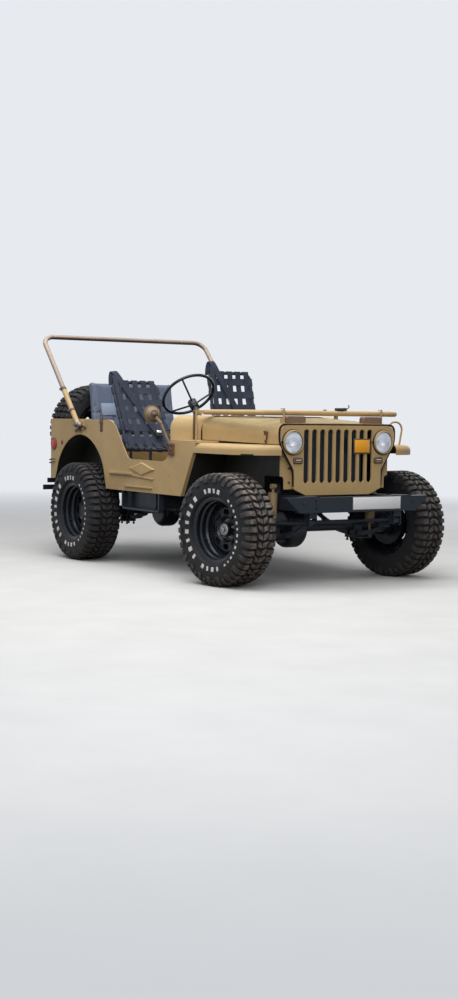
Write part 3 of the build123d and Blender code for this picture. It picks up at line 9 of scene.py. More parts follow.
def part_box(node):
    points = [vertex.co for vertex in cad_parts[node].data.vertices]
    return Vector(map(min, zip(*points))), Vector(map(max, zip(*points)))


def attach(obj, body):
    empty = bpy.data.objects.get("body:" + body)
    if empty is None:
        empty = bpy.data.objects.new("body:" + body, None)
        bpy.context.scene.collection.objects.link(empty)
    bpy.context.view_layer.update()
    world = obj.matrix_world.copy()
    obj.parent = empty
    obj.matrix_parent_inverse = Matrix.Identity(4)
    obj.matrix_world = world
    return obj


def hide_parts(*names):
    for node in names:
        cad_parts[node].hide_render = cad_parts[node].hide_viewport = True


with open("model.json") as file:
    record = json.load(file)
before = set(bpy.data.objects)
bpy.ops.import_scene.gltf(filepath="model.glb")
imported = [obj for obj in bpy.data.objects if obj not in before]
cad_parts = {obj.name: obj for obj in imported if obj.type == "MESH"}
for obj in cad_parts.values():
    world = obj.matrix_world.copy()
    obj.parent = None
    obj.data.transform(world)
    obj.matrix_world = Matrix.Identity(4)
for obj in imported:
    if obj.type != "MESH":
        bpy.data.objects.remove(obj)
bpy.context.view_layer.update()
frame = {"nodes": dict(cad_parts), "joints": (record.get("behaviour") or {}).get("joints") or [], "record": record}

frontAxle = 1.227    # metres from the origin to the front axle, to which the places below are given
rearAxle = frontAxle - 2.032


def ahead(distance):
    return frontAxle + distance


def shift(x, y, z):
    return Matrix.Translation((x, y, z))


def turned(degrees, axis):
    return Matrix.Rotation(radians(degrees), 4, axis)


# Node helpers: inputs are values or sockets
def setInput(tree, node, key, value):
    if isinstance(value, bpy.types.NodeSocket):
        tree.links.new(value, node.inputs[key])
    else:
        node.inputs[key].default_value = value


def addNode(tree, kind, inputs=None, **fields):
    made = tree.nodes.new("ShaderNode" + kind)
    for field, value in fields.items():
        setattr(made, field, value)
    for key, value in (inputs or {}).items():
        setInput(tree, made, key, value)
    return made


def mixColors(tree, factor, first, second, blend="MIX"):
    sockets = {0: factor, 6: first, 7: second}
    return addNode(tree, "Mix", sockets, data_type="RGBA", blend_type=blend).outputs[2]


def calculate(tree, operation, first, second=0.0, clamp=True):
    return addNode(tree, "Math", {0: first, 1: second}, operation=operation, use_clamp=clamp).outputs[0]


def mapRange(tree, value, low, high, newLow=0.0, newHigh=1.0):
    sockets = {"Value": value, "From Min": low, "From Max": high, "To Min": newLow, "To Max": newHigh}
    return addNode(tree, "MapRange", sockets).outputs[0]


def noiseField(tree, coordinate, scale, detail=4.0, roughness=0.6):
    sockets = {"Vector": coordinate, "Scale": scale, "Detail": detail, "Roughness": roughness}
    return addNode(tree, "TexNoise", sockets).outputs[0]


def parted(tree, vector):
    return addNode(tree, "SeparateXYZ", {0: vector}).outputs


def bumped(tree, height, distance, **inputs):
    return addNode(tree, "Bump", {"Height": height, "Distance": distance, **inputs}).outputs[0]


def startGroup(name, inputs, outputs):
    group = bpy.data.node_groups.new(name, "ShaderNodeTree")
    kinds = {float: "NodeSocketFloat", tuple: "NodeSocketColor"}
    for label, value in inputs.items():
        socket = group.interface.new_socket(label, in_out="INPUT", socket_type=kinds[type(value)])
        socket.default_value = value
    for label, kind in outputs.items():
        group.interface.new_socket(label, in_out="OUTPUT", socket_type="NodeSocket" + kind)
    return group, group.nodes.new("NodeGroupInput").outputs, group.nodes.new("NodeGroupOutput").inputs


def useGroup(tree, group, **values):
    made = tree.nodes.new("ShaderNodeGroup")
    made.node_tree = group
    for key, value in values.items():
        setInput(tree, made, key[0].upper() + key[1:], value)
    return made.outputs


# Broad and fine drift of a colour over the surface
inputs = {"Color": (0.5, 0.5, 0.5, 1), "Amount": 0.1, "Scale": 3.0}
toneDrift, given, result = startGroup("toneDrift", inputs, {"Color": "Color"})
place = addNode(toneDrift, "TexCoord").outputs["Object"]
broad = noiseField(toneDrift, place, given["Scale"], detail=3.0)
fine = noiseField(toneDrift, place, 60.0, detail=5.0, roughness=0.7)
broad = mapRange(toneDrift, broad, 0.3, 0.7, 0.0, 0.7)
fine = mapRange(toneDrift, fine, 0.3, 0.7, 0.0, 0.3)
swing = mapRange(toneDrift, calculate(toneDrift, "ADD", broad, fine), 0.0, 1.0, -1.0, 1.0)
level = addNode(toneDrift, "Math", {0: swing, 1: given["Amount"], 2: 1.0}, operation="MULTIPLY_ADD").outputs[0]
toneDrift.links.new(mixColors(toneDrift, 1.0, given["Color"], level, blend="MULTIPLY"), result["Color"])

# Rounded edges for the light, and a broken mask where paint rubs off them
inputs = {"Radius": 0.003, "Amount": 0.5}
edgeWear, given, result = startGroup("edgeWear", inputs, {"Mask": "Float", "Normal": "Vector"})
rounded = addNode(edgeWear, "Bevel", {"Radius": given["Radius"]}, samples=4).outputs[0]
straight = addNode(edgeWear, "NewGeometry").outputs["Normal"]
along = addNode(edgeWear, "VectorMath", {0: rounded, 1: straight}, operation="DOT_PRODUCT").outputs["Value"]
place = addNode(edgeWear, "TexCoord").outputs["Object"]
broken = mapRange(edgeWear, noiseField(edgeWear, place, 24.0, detail=8.0, roughness=0.75), 0.48, 0.62)
rubbed = calculate(edgeWear, "MULTIPLY", mapRange(edgeWear, along, 0.97, 0.82), broken)
edgeWear.links.new(calculate(edgeWear, "MULTIPLY", rubbed, given["Amount"]), result["Mask"])
edgeWear.links.new(rounded, result["Normal"])

# Dust that settles on faces turned up and splashes on the low ones
dustFilm, given, result = startGroup("dustFilm", {"Amount": 0.3, "Splash": 0.7}, {"Mask": "Float"})
texture = addNode(dustFilm, "TexCoord").outputs
height = parted(dustFilm, texture["Object"])["Z"]
facing = parted(dustFilm, texture["Normal"])["Z"]
cloud = noiseField(dustFilm, texture["Object"], 9.0, detail=8.0, roughness=0.72)
settled = mapRange(dustFilm, facing, 0.2, 1.0, 0.0, 0.45)
splashed = mapRange(dustFilm, height, given["Splash"], 0.1, 0.0, 0.9)
film = calculate(dustFilm, "ADD", calculate(dustFilm, "MAXIMUM", settled, splashed), 0.08)
cloudy = mapRange(dustFilm, mapRange(dustFilm, cloud, 0.35, 0.68), 0.0, 1.0, 0.35, 1.0)
film = calculate(dustFilm, "MULTIPLY", film, cloudy)
dustFilm.links.new(calculate(dustFilm, "MULTIPLY", film, given["Amount"]), result["Mask"])

dustColor = (0.30, 0.22, 0.145, 1)
# the black of the painted shade in the boxes below
paintedShadeColor = (0.014, 0.013, 0.012, 1)
# Painted shade, black: in the rear wheel arches, under the body, low in the front of the tub, on the inner aprons
# under the front fenders and low on the shocks. Each box by its lowest and highest corner (ahead of the axle, out
# from the middle, up), and which faces there
paintedShadePlaces = {
    "floor": (
        ((-2.65, 0.5012, 0.40), (-1.60, 0.7225, 0.995), "arch"),
        ((-2.70, 0.0, 0.40), (-0.60, 0.7225, 0.80), "under"),
        ((-1.70, 0.0, 0.40), (-0.66, 0.7225, 0.850), "all"),
    ),
    "side": (((-1.70, 0.0, 0.40), (-0.66, 0.7225, 0.820), "all"),),
    "fender": (((-0.62, 0.28, 0.40), (0.222, 0.700, 0.872), "sides"),),
    "shocks": (((-3.0, 0.0, 0.0), (1.0, 1.0, 0.305), "all"),),
}
archMiddle = (ahead(-2.112), 0.73, 0.44)


def outFromMiddle(tree, place):    # a place's distance to either side, and the side as -1 or 1
    across = parted(tree, place)["Y"]
    side = calculate(tree, "SIGN", across, clamp=False)
    return calculate(tree, "MULTIPLY", across, side, clamp=False), side


def insideBox(tree, place, low, high, soft=0.001):    # 1 inside a box of places, alike on the left and the right
    spot = parted(tree, place)
    mask = 1.0
    low, high = (ahead(low[0]), *low[1:]), (ahead(high[0]), *high[1:])
    for value, first, last in zip((spot["X"], outFromMiddle(tree, place)[0], spot["Z"]), low, high):
        mask = calculate(tree, "MULTIPLY", mapRange(tree, value, first - soft, first), mask)
        mask = calculate(tree, "MULTIPLY", mapRange(tree, value, last + soft, last), mask)
    return mask


def chosenFaces(tree, texture, faces):    # 1 on the faces that look the right way
    if faces == "all":
        return 1.0
    turn = parted(tree, texture["Normal"])
    if faces == "sides":
        return mapRange(tree, turn["Z"], 0.8, 0.5)
    if faces == "under":
        return mapRange(tree, turn["Z"], -0.3, -0.6)
    spot = parted(tree, texture["Object"])    # those that look into the wheel arch
    out, side = outFromMiddle(tree, texture["Object"])
    outward = calculate(tree, "MULTIPLY", turn["Y"], side, clamp=False)
    looks = addNode(tree, "CombineXYZ", {0: turn["X"], 1: outward, 2: turn["Z"]}).outputs[0]
    spot = addNode(tree, "CombineXYZ", {0: spot["X"], 1: out, 2: spot["Z"]}).outputs[0]
    inward = addNode(tree, "VectorMath", {0: archMiddle, 1: spot}, operation="SUBTRACT").outputs[0]
    inside = addNode(tree, "VectorMath", {0: looks, 1: inward}, operation="DOT_PRODUCT").outputs["Value"]
    return mapRange(tree, inside, 0.0, 0.02)


def newMaterial(name):    # the material, its nodes and its shader
    material = bpy.data.materials.new(name)
    material.use_nodes = True
    return material, material.node_tree, material.node_tree.nodes["Principled BSDF"]


# One finish: tone, dust, rubbed edges, painted shade on what faces down and in given boxes, and a fine grain
def paintedFinish(name, color, roughness, tone=0.12, dust=0.3, splash=0.7, wear=0.3,
                  wornColor=(0.10, 0.05, 0.03), edge=0.003, grain=700.0, grainHeight=0.0002, metallic=0.0,
                  coat=0.0, wave=0.0, gloss=0.5, under=0.0, grimy=()):
    material, tree, shader = newMaterial(name)
    base = useGroup(tree, toneDrift, color=(*color, 1), amount=tone)["Color"]
    worn = useGroup(tree, edgeWear, radius=edge, amount=wear)
    dusty = useGroup(tree, dustFilm, amount=dust, splash=splash)["Mask"]
    base = mixColors(tree, worn["Mask"], base, (*wornColor, 1))
    texture = addNode(tree, "TexCoord").outputs
    place = texture["Object"]
    if under:    # painted shade on what faces down, in the worn colour
        shade = mapRange(tree, parted(tree, texture["Normal"])["Z"], 0.45, -0.35, 0.0, under)
        base = mixColors(tree, shade, base, (*wornColor, 1))
    base = mixColors(tree, dusty, base, dustColor)
    # painted shade: black in the given boxes, on the chosen faces
    for low, high, faces in grimy:
        mask = calculate(tree, "MULTIPLY", insideBox(tree, place, low, high), chosenFaces(tree, texture, faces))
        base = mixColors(tree, mask, base, paintedShadeColor)
    tree.links.new(base, shader.inputs["Base Color"])
    patches = noiseField(tree, place, 14.0, detail=5.0)
    rough = mapRange(tree, patches, 0.3, 0.7, roughness - 0.06, roughness + 0.08)
    tree.links.new(addNode(tree, "Mix", {0: dusty, 2: rough, 3: 0.9}).outputs[0], shader.inputs["Roughness"])
    shader.inputs["Metallic"].default_value = metallic
    shader.inputs["Specular IOR Level"].default_value = gloss
    shader.inputs["Coat Weight"].default_value = coat
    shader.inputs["Coat Roughness"].default_value = 0.25
    normal = worn["Normal"]
    if wave:    # slightly uneven sheet metal
        normal = bumped(tree, noiseField(tree, place, 5.0, detail=1.0), wave, Normal=normal)
    normal = bumped(tree, noiseField(tree, place, grain, detail=2.0), grainHeight, Normal=normal)
    tree.links.new(normal, shader.inputs["Normal"])
    return material


bodyLook = dict(color=(0.44, 0.302, 0.140), roughness=0.46, dust=0.12, splash=0.80, wear=0.55, wave=0.006,
                gloss=0.28, wornColor=(0.13, 0.07, 0.04))
vinylLook = dict(roughness=0.42, tone=0.2, dust=0.03, splash=0.3, wear=0.0, grain=420.0, gloss=0.3)
thinLook = dict(wear=0.0, edge=0.001)    # lenses, plates and other small crisp parts
finishes = {
    "bodyPaint": bodyLook,
    # floorPaint, sidePaint, fenderPaint and shockPaint: paint with painted shade in their boxes
    "floorPaint": dict(bodyLook, grimy=paintedShadePlaces["floor"]),
    "sidePaint": dict(bodyLook, grimy=paintedShadePlaces["side"]),
    "fenderPaint": dict(bodyLook, grimy=paintedShadePlaces["fender"]),
    "shockPaint": dict(color=(0.36, 0.255, 0.13), roughness=0.5, wear=0.4, wornColor=(0.13, 0.07, 0.04),
                       grimy=paintedShadePlaces["shocks"]),
    # mirrorPaint and bowPaint: their faces turned down are darker, painted shade
    "mirrorPaint": dict(color=(0.20, 0.138, 0.075), roughness=0.55, tone=0.2, dust=0.06, wear=0.5,
                        wornColor=(0.07, 0.04, 0.03), under=0.5),
    "bowPaint": dict(color=(0.34, 0.265, 0.215), roughness=0.36, tone=0.25, dust=0.08, wear=0.5,
                     wornColor=(0.035, 0.020, 0.016), gloss=0.4, under=0.95),
    "brownPaint": dict(color=(0.070, 0.040, 0.027), roughness=0.45, tone=0.3, dust=0.10, wear=0.4,
                       wornColor=(0.18, 0.10, 0.05)),
    # blackPaint: its blue tint is a painted reflection of the sky
    "blackPaint": dict(color=(0.014, 0.020, 0.031), roughness=0.36, dust=0.035, splash=0.45, wear=0.40,
                       wornColor=(0.12, 0.12, 0.12), gloss=0.25),
    "wheelPaint": dict(color=(0.008, 0.011, 0.016), roughness=0.26, dust=0.012, splash=0.20, wear=0.25,
                       wornColor=(0.06, 0.07, 0.08), gloss=0.30),
    "castIron": dict(color=(0.040, 0.038, 0.036), roughness=0.62, tone=0.2, dust=0.12, grain=260.0,
                     grainHeight=0.0006, metallic=0.4),
    "bareSteel": dict(color=(0.42, 0.42, 0.41), roughness=0.34, tone=0.2, dust=0.15, wear=0.0, metallic=1.0),
    "brightSteel": dict(thinLook, color=(0.78, 0.78, 0.77), roughness=0.14, tone=0.05, dust=0.03, metallic=1.0),
    "lampSilver": dict(thinLook, color=(0.84, 0.86, 0.90), roughness=0.42, tone=0.06, dust=0.02, metallic=0.75),
    "hubSteel": dict(thinLook, color=(0.24, 0.25, 0.26), roughness=0.42, tone=0.25, dust=0.05, metallic=0.9),
    "rustySteel": dict(color=(0.11, 0.042, 0.024), roughness=0.7, tone=0.3, dust=0.10, wear=0.0, grain=220.0,
                       grainHeight=0.0004),
    "rubber": dict(color=(0.014, 0.015, 0.018), roughness=0.62, tone=0.40, dust=0.05, splash=0.4, wear=0.0,
                   grain=500.0, gloss=0.18),
    "sealRubber": dict(thinLook, color=(0.005, 0.004, 0.004), roughness=0.55, tone=0.2, dust=0.02, gloss=0.15),
    "whiteRubber": dict(thinLook, color=(0.66, 0.66, 0.65), roughness=0.6, tone=0.25, dust=0.20, splash=0.5),
    "blackVinyl": dict(vinylLook, color=(0.085, 0.105, 0.155), grainHeight=0.0006),
    "paleVinyl": dict(vinylLook, color=(0.20, 0.24, 0.32)),
    "leather": dict(color=(0.045, 0.026, 0.018), roughness=0.5, tone=0.3, dust=0.08, grain=300.0, edge=0.002),
    "helmPlastic": dict(color=(0.007, 0.008, 0.010), roughness=0.24, tone=0.1, dust=0.015, splash=0.3, wear=0.0,
                        gloss=0.4),
    "whitePlate": dict(color=(0.74, 0.75, 0.77), roughness=0.4, tone=0.05, dust=0.08, wornColor=(0.2, 0.15, 0.1),
                       edge=0.001),
    "yellowPlate": dict(color=(0.80, 0.34, 0.006), roughness=0.35, tone=0.06, dust=0.02,
                        wornColor=(0.25, 0.1, 0.02), edge=0.001),
    "amberLens": dict(thinLook, color=(0.36, 0.13, 0.03), roughness=0.18, tone=0.15, dust=0.06, coat=0.6),
    "redLens": dict(thinLook, color=(0.55, 0.012, 0.028), roughness=0.25, tone=0.1, dust=0.02, gloss=0.3),
    "dialFace": dict(thinLook, color=(0.02, 0.02, 0.02), roughness=0.25, tone=0.1, dust=0.03, coat=0.5),
}
materials = {name: paintedFinish(name, **look) for name, look in finishes.items()}


# Clear glass with smears, and ribs on a lamp's
def glassFinish(name, color, flutes=0.0):
    material, tree, shader = newMaterial(name)
    shader.inputs["Base Color"].default_value = (*color, 1)
    shader.inputs["Transmission Weight"].default_value = 1.0
    shader.inputs["IOR"].default_value = 1.45
    place = addNode(tree, "TexCoord").outputs["Object"]
    smears = noiseField(tree, place, 30.0, detail=6.0, roughness=0.7)
    tree.links.new(mapRange(tree, smears, 0.4, 0.8, 0.01, 0.12), shader.inputs["Roughness"])
    if flutes:
        ribs = addNode(tree, "TexWave", {"Vector": place, "Scale": flutes}, bands_direction="Y").outputs["Fac"]
        tree.links.new(bumped(tree, ribs, 0.00012), shader.inputs["Normal"])
    return material


materials["paneGlass"] = glassFinish("paneGlass", (0.86, 0.93, 0.92))
materials["lampGlass"] = glassFinish("lampGlass", (0.97, 0.98, 1.0), flutes=30.0)


def ridges(tree, attribute, perMetre):    # a zigzag of 0 to 0.5 along an attribute in metres
    run = addNode(tree, "Attribute", attribute_name=attribute).outputs["Fac"]
    turns = calculate(tree, "FRACT", calculate(tree, "MULTIPLY", run, perMetre, clamp=False))
    return calculate(tree, "PINGPONG", turns, 0.5)


# Woven nylon: its threads follow the two attributes that each strap mesh carries
def webbingFinish(name, color):
    material, tree, shader = newMaterial(name)
    weave = calculate(tree, "ADD", ridges(tree, "strapRun", 500.0), ridges(tree, "strapSide", 220.0))
    toned = useGroup(tree, toneDrift, color=(*color, 1), amount=0.20, scale=12.0)["Color"]
    shaded = mixColors(tree, mapRange(tree, weave, 0.0, 0.6, 0.45, 0.0), toned, (0.002, 0.002, 0.002, 1))
    dusty = useGroup(tree, dustFilm, amount=0.03, splash=0.3)["Mask"]
    tree.links.new(mixColors(tree, dusty, shaded, dustColor), shader.inputs["Base Color"])
    tree.links.new(mapRange(tree, weave, 0.0, 1.0, 0.9, 0.7), shader.inputs["Roughness"])
    shader.inputs["Sheen Weight"].default_value = 0.03
    shader.inputs["Specular IOR Level"].default_value = 0.15
    tree.links.new(bumped(tree, weave, 0.0008), shader.inputs["Normal"])
    return material


materials["webbing"] = webbingFinish("webbing", (0.036, 0.043, 0.064))


def paintOver(material, mask, color):    # a colour over what the material already has, where the mask is 1
    baseColor = material.node_tree.nodes["Principled BSDF"].inputs["Base Color"]
    tree = material.node_tree
    tree.links.new(mixColors(tree, mask, baseColor.links[0].from_socket, (*color, 1)), baseColor)


# Tyre lugs: the rubber with dry mud where the attribute says
treadRubber = materials["rubber"].copy()
treadRubber.name = "treadRubber"
tree = treadRubber.node_tree
mud = addNode(tree, "Attribute", attribute_name="mud").outputs["Fac"]
clods = noiseField(tree, addNode(tree, "TexCoord").outputs["Object"], 22.0, detail=8.0, roughness=0.75)
muddy = calculate(tree, "MULTIPLY", mud, mapRange(tree, clods, 0.40, 0.66, 0.05, 0.95))
paintOver(treadRubber, muddy, (0.30, 0.25, 0.215))
materials["treadRubber"] = treadRubber

# Stained wood with its grain along X
paleWood = paintedFinish("paleWood", color=(0.17, 0.098, 0.062), roughness=0.6, wear=0.0, dust=0.15)
tree = paleWood.node_tree
sockets = {"Vector": addNode(tree, "TexCoord").outputs["Object"], "Scale": (6.0, 120.0, 120.0)}
stretched = addNode(tree, "Mapping", sockets).outputs[0]
rings = mapRange(tree, noiseField(tree, stretched, 1.0, detail=3.0), 0.35, 0.65, 0.0, 0.6)
paintOver(paleWood, rings, (0.13, 0.07, 0.04))
materials["paleWood"] = paleWood
print("materials:", len(materials))

# The CAD nodes that stay take their finish from the record's slot, apart from those with their own
finishOfSlot = {
    "body_paint": "bodyPaint", "black_paint": "blackPaint", "tyre": "rubber", "cast_iron": "castIron",
    "bare_steel": "bareSteel", "wood": "paleWood", "lamp_glass": "lampGlass", "amber_plastic": "amberLens",
    "webbing": "webbing", "vinyl": "blackVinyl", "helm_plastic": "helmPlastic", "pane_glass": "paneGlass",
}
ownFinish = {    # by the start of the node's name
    "rim_": "wheelPaint", "spare_rim": "wheelPaint", "headlamps": "brownPaint", "exhaust": "rustySteel",
    "top_bow": "bowPaint", "steering_column": "helmPlastic", "shock_absorbers": "shockPaint",
    "side_mirror": "mirrorPaint", "tub_floor": "floorPaint", "tub_side": "sidePaint", "fender_": "fenderPaint",
}
for part in frame["record"]["subparts"]:
    chosen = finishOfSlot[part["material_slot"]]
    for start, finish in ownFinish.items():
        if part["node"].startswith(start):
            chosen = finish
    for slot in frame["nodes"][part["node"]].material_slots:
        slot.material = materials[chosen]


# Mesh helpers: each makes one part in its own bmesh, and join() puts it into a piece
weldDistance = 1e-6


def bevelEdges(part, edges, offset, segments=2):
    bmesh.ops.bevel(part, geom=edges, offset=offset, segments=segments, profile=0.5, affect="EDGES", material=-1)


def boxPart(length, width, height, bevel=0.0, segments=2):
    part = bmesh.new()
    bmesh.ops.create_cube(part, size=1, matrix=Matrix.Diagonal((length, width, height, 1)))
    if bevel:
        bevelEdges(part, part.edges[:], bevel, segments)
    return part


def discPart(radius, depth, sides=24, bevel=0.0, top=None):
    part = bmesh.new()
    top = radius if top is None else top
    bmesh.ops.create_cone(part, cap_ends=True, segments=sides, radius1=radius, radius2=top, depth=depth)
    bmesh.ops.translate(part, verts=part.verts, vec=(0, 0, depth / 2))
    if bevel:
        bevelEdges(part, [edge for edge in part.edges if all(vert.co.z > depth * 0.9 for vert in edge.verts)], bevel)
    return part


def lathePart(profile, steps=48):    # profile of (radius, height) round Z
    part = bmesh.new()
    verts = [part.verts.new((radius, 0, height)) for radius, height in profile]
    edges = [part.edges.new(pair) for pair in zip(verts, verts[1:])]
    bmesh.ops.spin(part, geom=verts + edges, cent=(0, 0, 0), axis=(0, 0, 1), angle=2 * pi, steps=steps,
                   use_merge=True)
    bmesh.ops.remove_doubles(part, verts=part.verts, dist=weldDistance)
    bmesh.ops.recalc_face_normals(part, faces=part.faces)
    return part


def rodPart(points, radius, closed=False):
    curve = bpy.data.curves.new("rod", "CURVE")
    curve.dimensions = "3D"
    curve.bevel_depth = radius
    curve.bevel_resolution = 3
    curve.use_fill_caps = True
    spline = curve.splines.new("POLY")
    spline.points.add(len(points) - 1)
    for spot, point in zip(spline.points, points):
        spot.co = (*point, 1)
    spline.use_cyclic_u = closed
    holder = bpy.data.objects.new("rod", curve)
    mesh = bpy.data.meshes.new_from_object(holder)
    part = bmesh.new()
    part.from_mesh(mesh)
    bmesh.ops.remove_doubles(part, verts=part.verts, dist=weldDistance)
    bpy.data.objects.remove(holder)
    bpy.data.curves.remove(curve)
    bpy.data.meshes.remove(mesh)
    return part


def roundedPath(points, radius, steps):    # a polyline with its corners turned into arcs
    path = [Vector(points[0])]
    for before, corner, after in zip(points, points[1:], points[2:]):
        corner = Vector(corner)
        start = corner + (Vector(before) - corner).normalized() * radius
        end = corner + (Vector(after) - corner).normalized() * radius
        for step in range(steps + 1):
            share = step / steps
            path.append(start * (1 - share) ** 2 + corner * 2 * share * (1 - share) + end * share**2)
    path.append(Vector(points[-1]))
    return path


def join(piece, part, placed=Matrix(), slot=0):
    part.transform(placed)
    for face in part.faces:
        face.material_index = slot
    mesh = bpy.data.meshes.new("part")
    part.to_mesh(mesh)
    part.free()
    piece.from_mesh(mesh)
    bpy.data.meshes.remove(mesh)


def addBox(piece, size, placed, bevel=0.0, slot=0, segments=2):
    join(piece, boxPart(*size, bevel=bevel, segments=segments), placed, slot)


def addDisc(piece, radius, depth, placed, slot=0, **look):
    join(piece, discPart(radius, depth, **look), placed, slot)


def addLathe(piece, profile, placed, slot=0, steps=48):
    join(piece, lathePart(profile, steps), placed, slot)


def addRod(piece, points, corner, radius, slot=0, steps=6, closed=False):
    path = roundedPath(points, corner, steps)
    join(piece, rodPart(path[:-1] if closed else path, radius, closed), slot=slot)


def facingTurn(direction):    # local Z to the direction, local Y up
    return Vector(direction).to_track_quat("Z", "Y").to_matrix().to_4x4()


def boltHeads(piece, spots, facing, size=0.008, slot=0):    # a washer and a hexagon head at each spot
    for spot in spots:
        placed = shift(*spot) @ facingTurn(facing)
        addDisc(piece, size * 1.25, size * 0.18, placed, slot)
        addDisc(piece, size, size * 0.8, placed @ shift(0, 0, size * 0.15), slot, sides=6, bevel=size * 0.12)


def makeObject(name, piece):
    mesh = bpy.data.meshes.new(name)
    piece.to_mesh(mesh)
    piece.free()
    made = bpy.data.objects.new(name, mesh)
    bpy.context.scene.collection.objects.link(made)
    return made


def finishPiece(name, piece, body, finishNames, replaced=(), crease=35):
    for face in piece.faces:
        face.smooth = True
    for edge in piece.edges:
        edge.smooth = edge.calc_face_angle(0) < radians(crease)
    made = makeObject(name, piece)
    for finishName in finishNames:
        made.data.materials.append(materials[finishName])
    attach(made, body)
    if replaced:
        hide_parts(*replaced)


def wheelMatrix(centre, outward):    # local Z outward, local Y up
    return Matrix.Translation(centre) @ facingTurn(outward)


# Wheels: place and outward axis of each, from the joints
wheelPlaces = {}
for joint in frame["joints"]:
    if joint["name"].endswith("_spin"):
        centre = Vector(joint["pos_m"])
        outward = Vector(joint["axis"]).normalized()
        if outward.y * centre.y < 0:
            outward.negate()
        wheelPlaces[joint["name"].removesuffix("_spin")] = wheelMatrix(centre, outward)

tyreLook = {
    "outerRadius": 0.372, "lugHeight": 0.018, "pitches": 22,
    "flatHalf": 0.094, "shoulderRadius": 0.030, "shoulderTurn": 72, "shoulderDrop": 0.62,
    # each lug by its corners: distance round the tread as a share of the pitch, distance from the centre line
    "lugs": (
        ((0.02, 0.004), (0.38, 0.010), (0.52, 0.043), (0.15, 0.036)),
        ((0.52, 0.003), (0.86, 0.008), (0.98, 0.047), (0.66, 0.040)),
        ((0.03, 0.050), (0.41, 0.056), (0.43, 0.158), (0.06, 0.158)),
        ((0.54, 0.055), (0.90, 0.061), (0.86, 0.136), (0.57, 0.136)),
    ),
    "lugTaper": (0.84, 0.95, 1), "lugBevel": 0.0012,
    "bends": (0.094, 0.104, 0.114, 0.124, 0.134),    # cuts across a lug, so that it bends over the shoulder
    # half of the carcass: (radius, distance from its middle), below the tread and down the sidewall
    "inside": ((0.354, 0.0), (0.354, 0.05), (0.354, 0.085)),
    "sidewall": (
        (0.300, 0.1250), (0.290, 0.1272), (0.280, 0.1282), (0.262, 0.1280), (0.234, 0.1258), (0.2265, 0.1205),
        (0.2225, 0.1125), (0.2195, 0.1050), (0.212, 0.1000), (0.204, 0.0940),
    ),
    "markRadius": 0.257, "markOut": 0.1272, "markThickness": 0.003,
    # raised white marks: first and last angle from the front, count, length round the tyre, height, lean
    "marks": (
        (76, 106, 4, 0.026, 0.030, 8), (132, 226, 8, 0.030, 0.034, 5), (250, 284, 4, 0.026, 0.030, 8),
        (-58, 50, 13, 0.020, 0.015, 3),
    ),
}


def treadPoint(look, around, along, lift):    # flat pattern to the tyre's curved surface
    side = -1 if along < 0 else 1
    flat, bend, turn = look["flatHalf"], look["shoulderRadius"], radians(look["shoulderTurn"])
    past = abs(along) - flat
    swing = min(max(past / bend, 0.0), turn)
    down = max(past - bend * turn, 0.0)
    lift *= 1 - look["shoulderDrop"] * swing / turn
    radius = look["outerRadius"] - look["lugHeight"] - bend * (1 - cos(swing)) - down * sin(turn) + lift * cos(swing)
    across = min(abs(along), flat) + bend * sin(swing) + down * cos(turn) + lift * sin(swing)
    angle = around / look["outerRadius"]
    return Vector((radius * cos(angle), radius * sin(angle), side * across))


def newVerts(geometry):
    return [item for item in geometry if isinstance(item, bmesh.types.BMVert)]


def treadPitch(look):
    pitch = 2 * pi * look["outerRadius"] / look["pitches"]
    height = look["lugHeight"]
    piece = bmesh.new()
    mud = piece.verts.layers.float.new("mud")
    for side in (1, -1):
        for corners in look["lugs"]:
            part = bmesh.new()
            start = 0.0 if side > 0 else 0.5 * pitch
            base = [part.verts.new((start + share * pitch, side * along, 0)) for share, along in corners]
            face = part.faces.new(base if side > 0 else base[::-1])
            raised = newVerts(bmesh.ops.extrude_face_region(part, geom=[face])["geom"])
            bmesh.ops.translate(part, verts=raised, vec=(0, 0, height))
            middle = sum((vert.co for vert in raised), Vector()) / len(raised)
            bmesh.ops.scale(part, vec=look["lugTaper"], space=Matrix.Translation(-middle), verts=raised)
            bmesh.ops.delete(part, geom=[face], context="FACES_ONLY")
            rim = [edge for edge in part.edges if all(vert in raised for vert in edge.verts)]
            bevelEdges(part, rim, look["lugBevel"], segments=1)
            for cut in look["bends"]:
                geometry = part.verts[:] + part.edges[:] + part.faces[:]
                bmesh.ops.bisect_plane(part, geom=geometry, plane_co=(0, side * cut, 0), plane_no=(0, 1, 0))
            bmesh.ops.recalc_face_normals(part, faces=part.faces)
            join(piece, part)
    for vert in piece.verts:    # mud on the lugs' tops, less of it over the shoulder
        vert[mud] = min(vert.co.z / height, 1.0) ** 3 * (1.0 if abs(vert.co.y) < 0.10 else 0.25)
        vert.co = treadPoint(look, vert.co.x, vert.co.y, vert.co.z)
    return piece


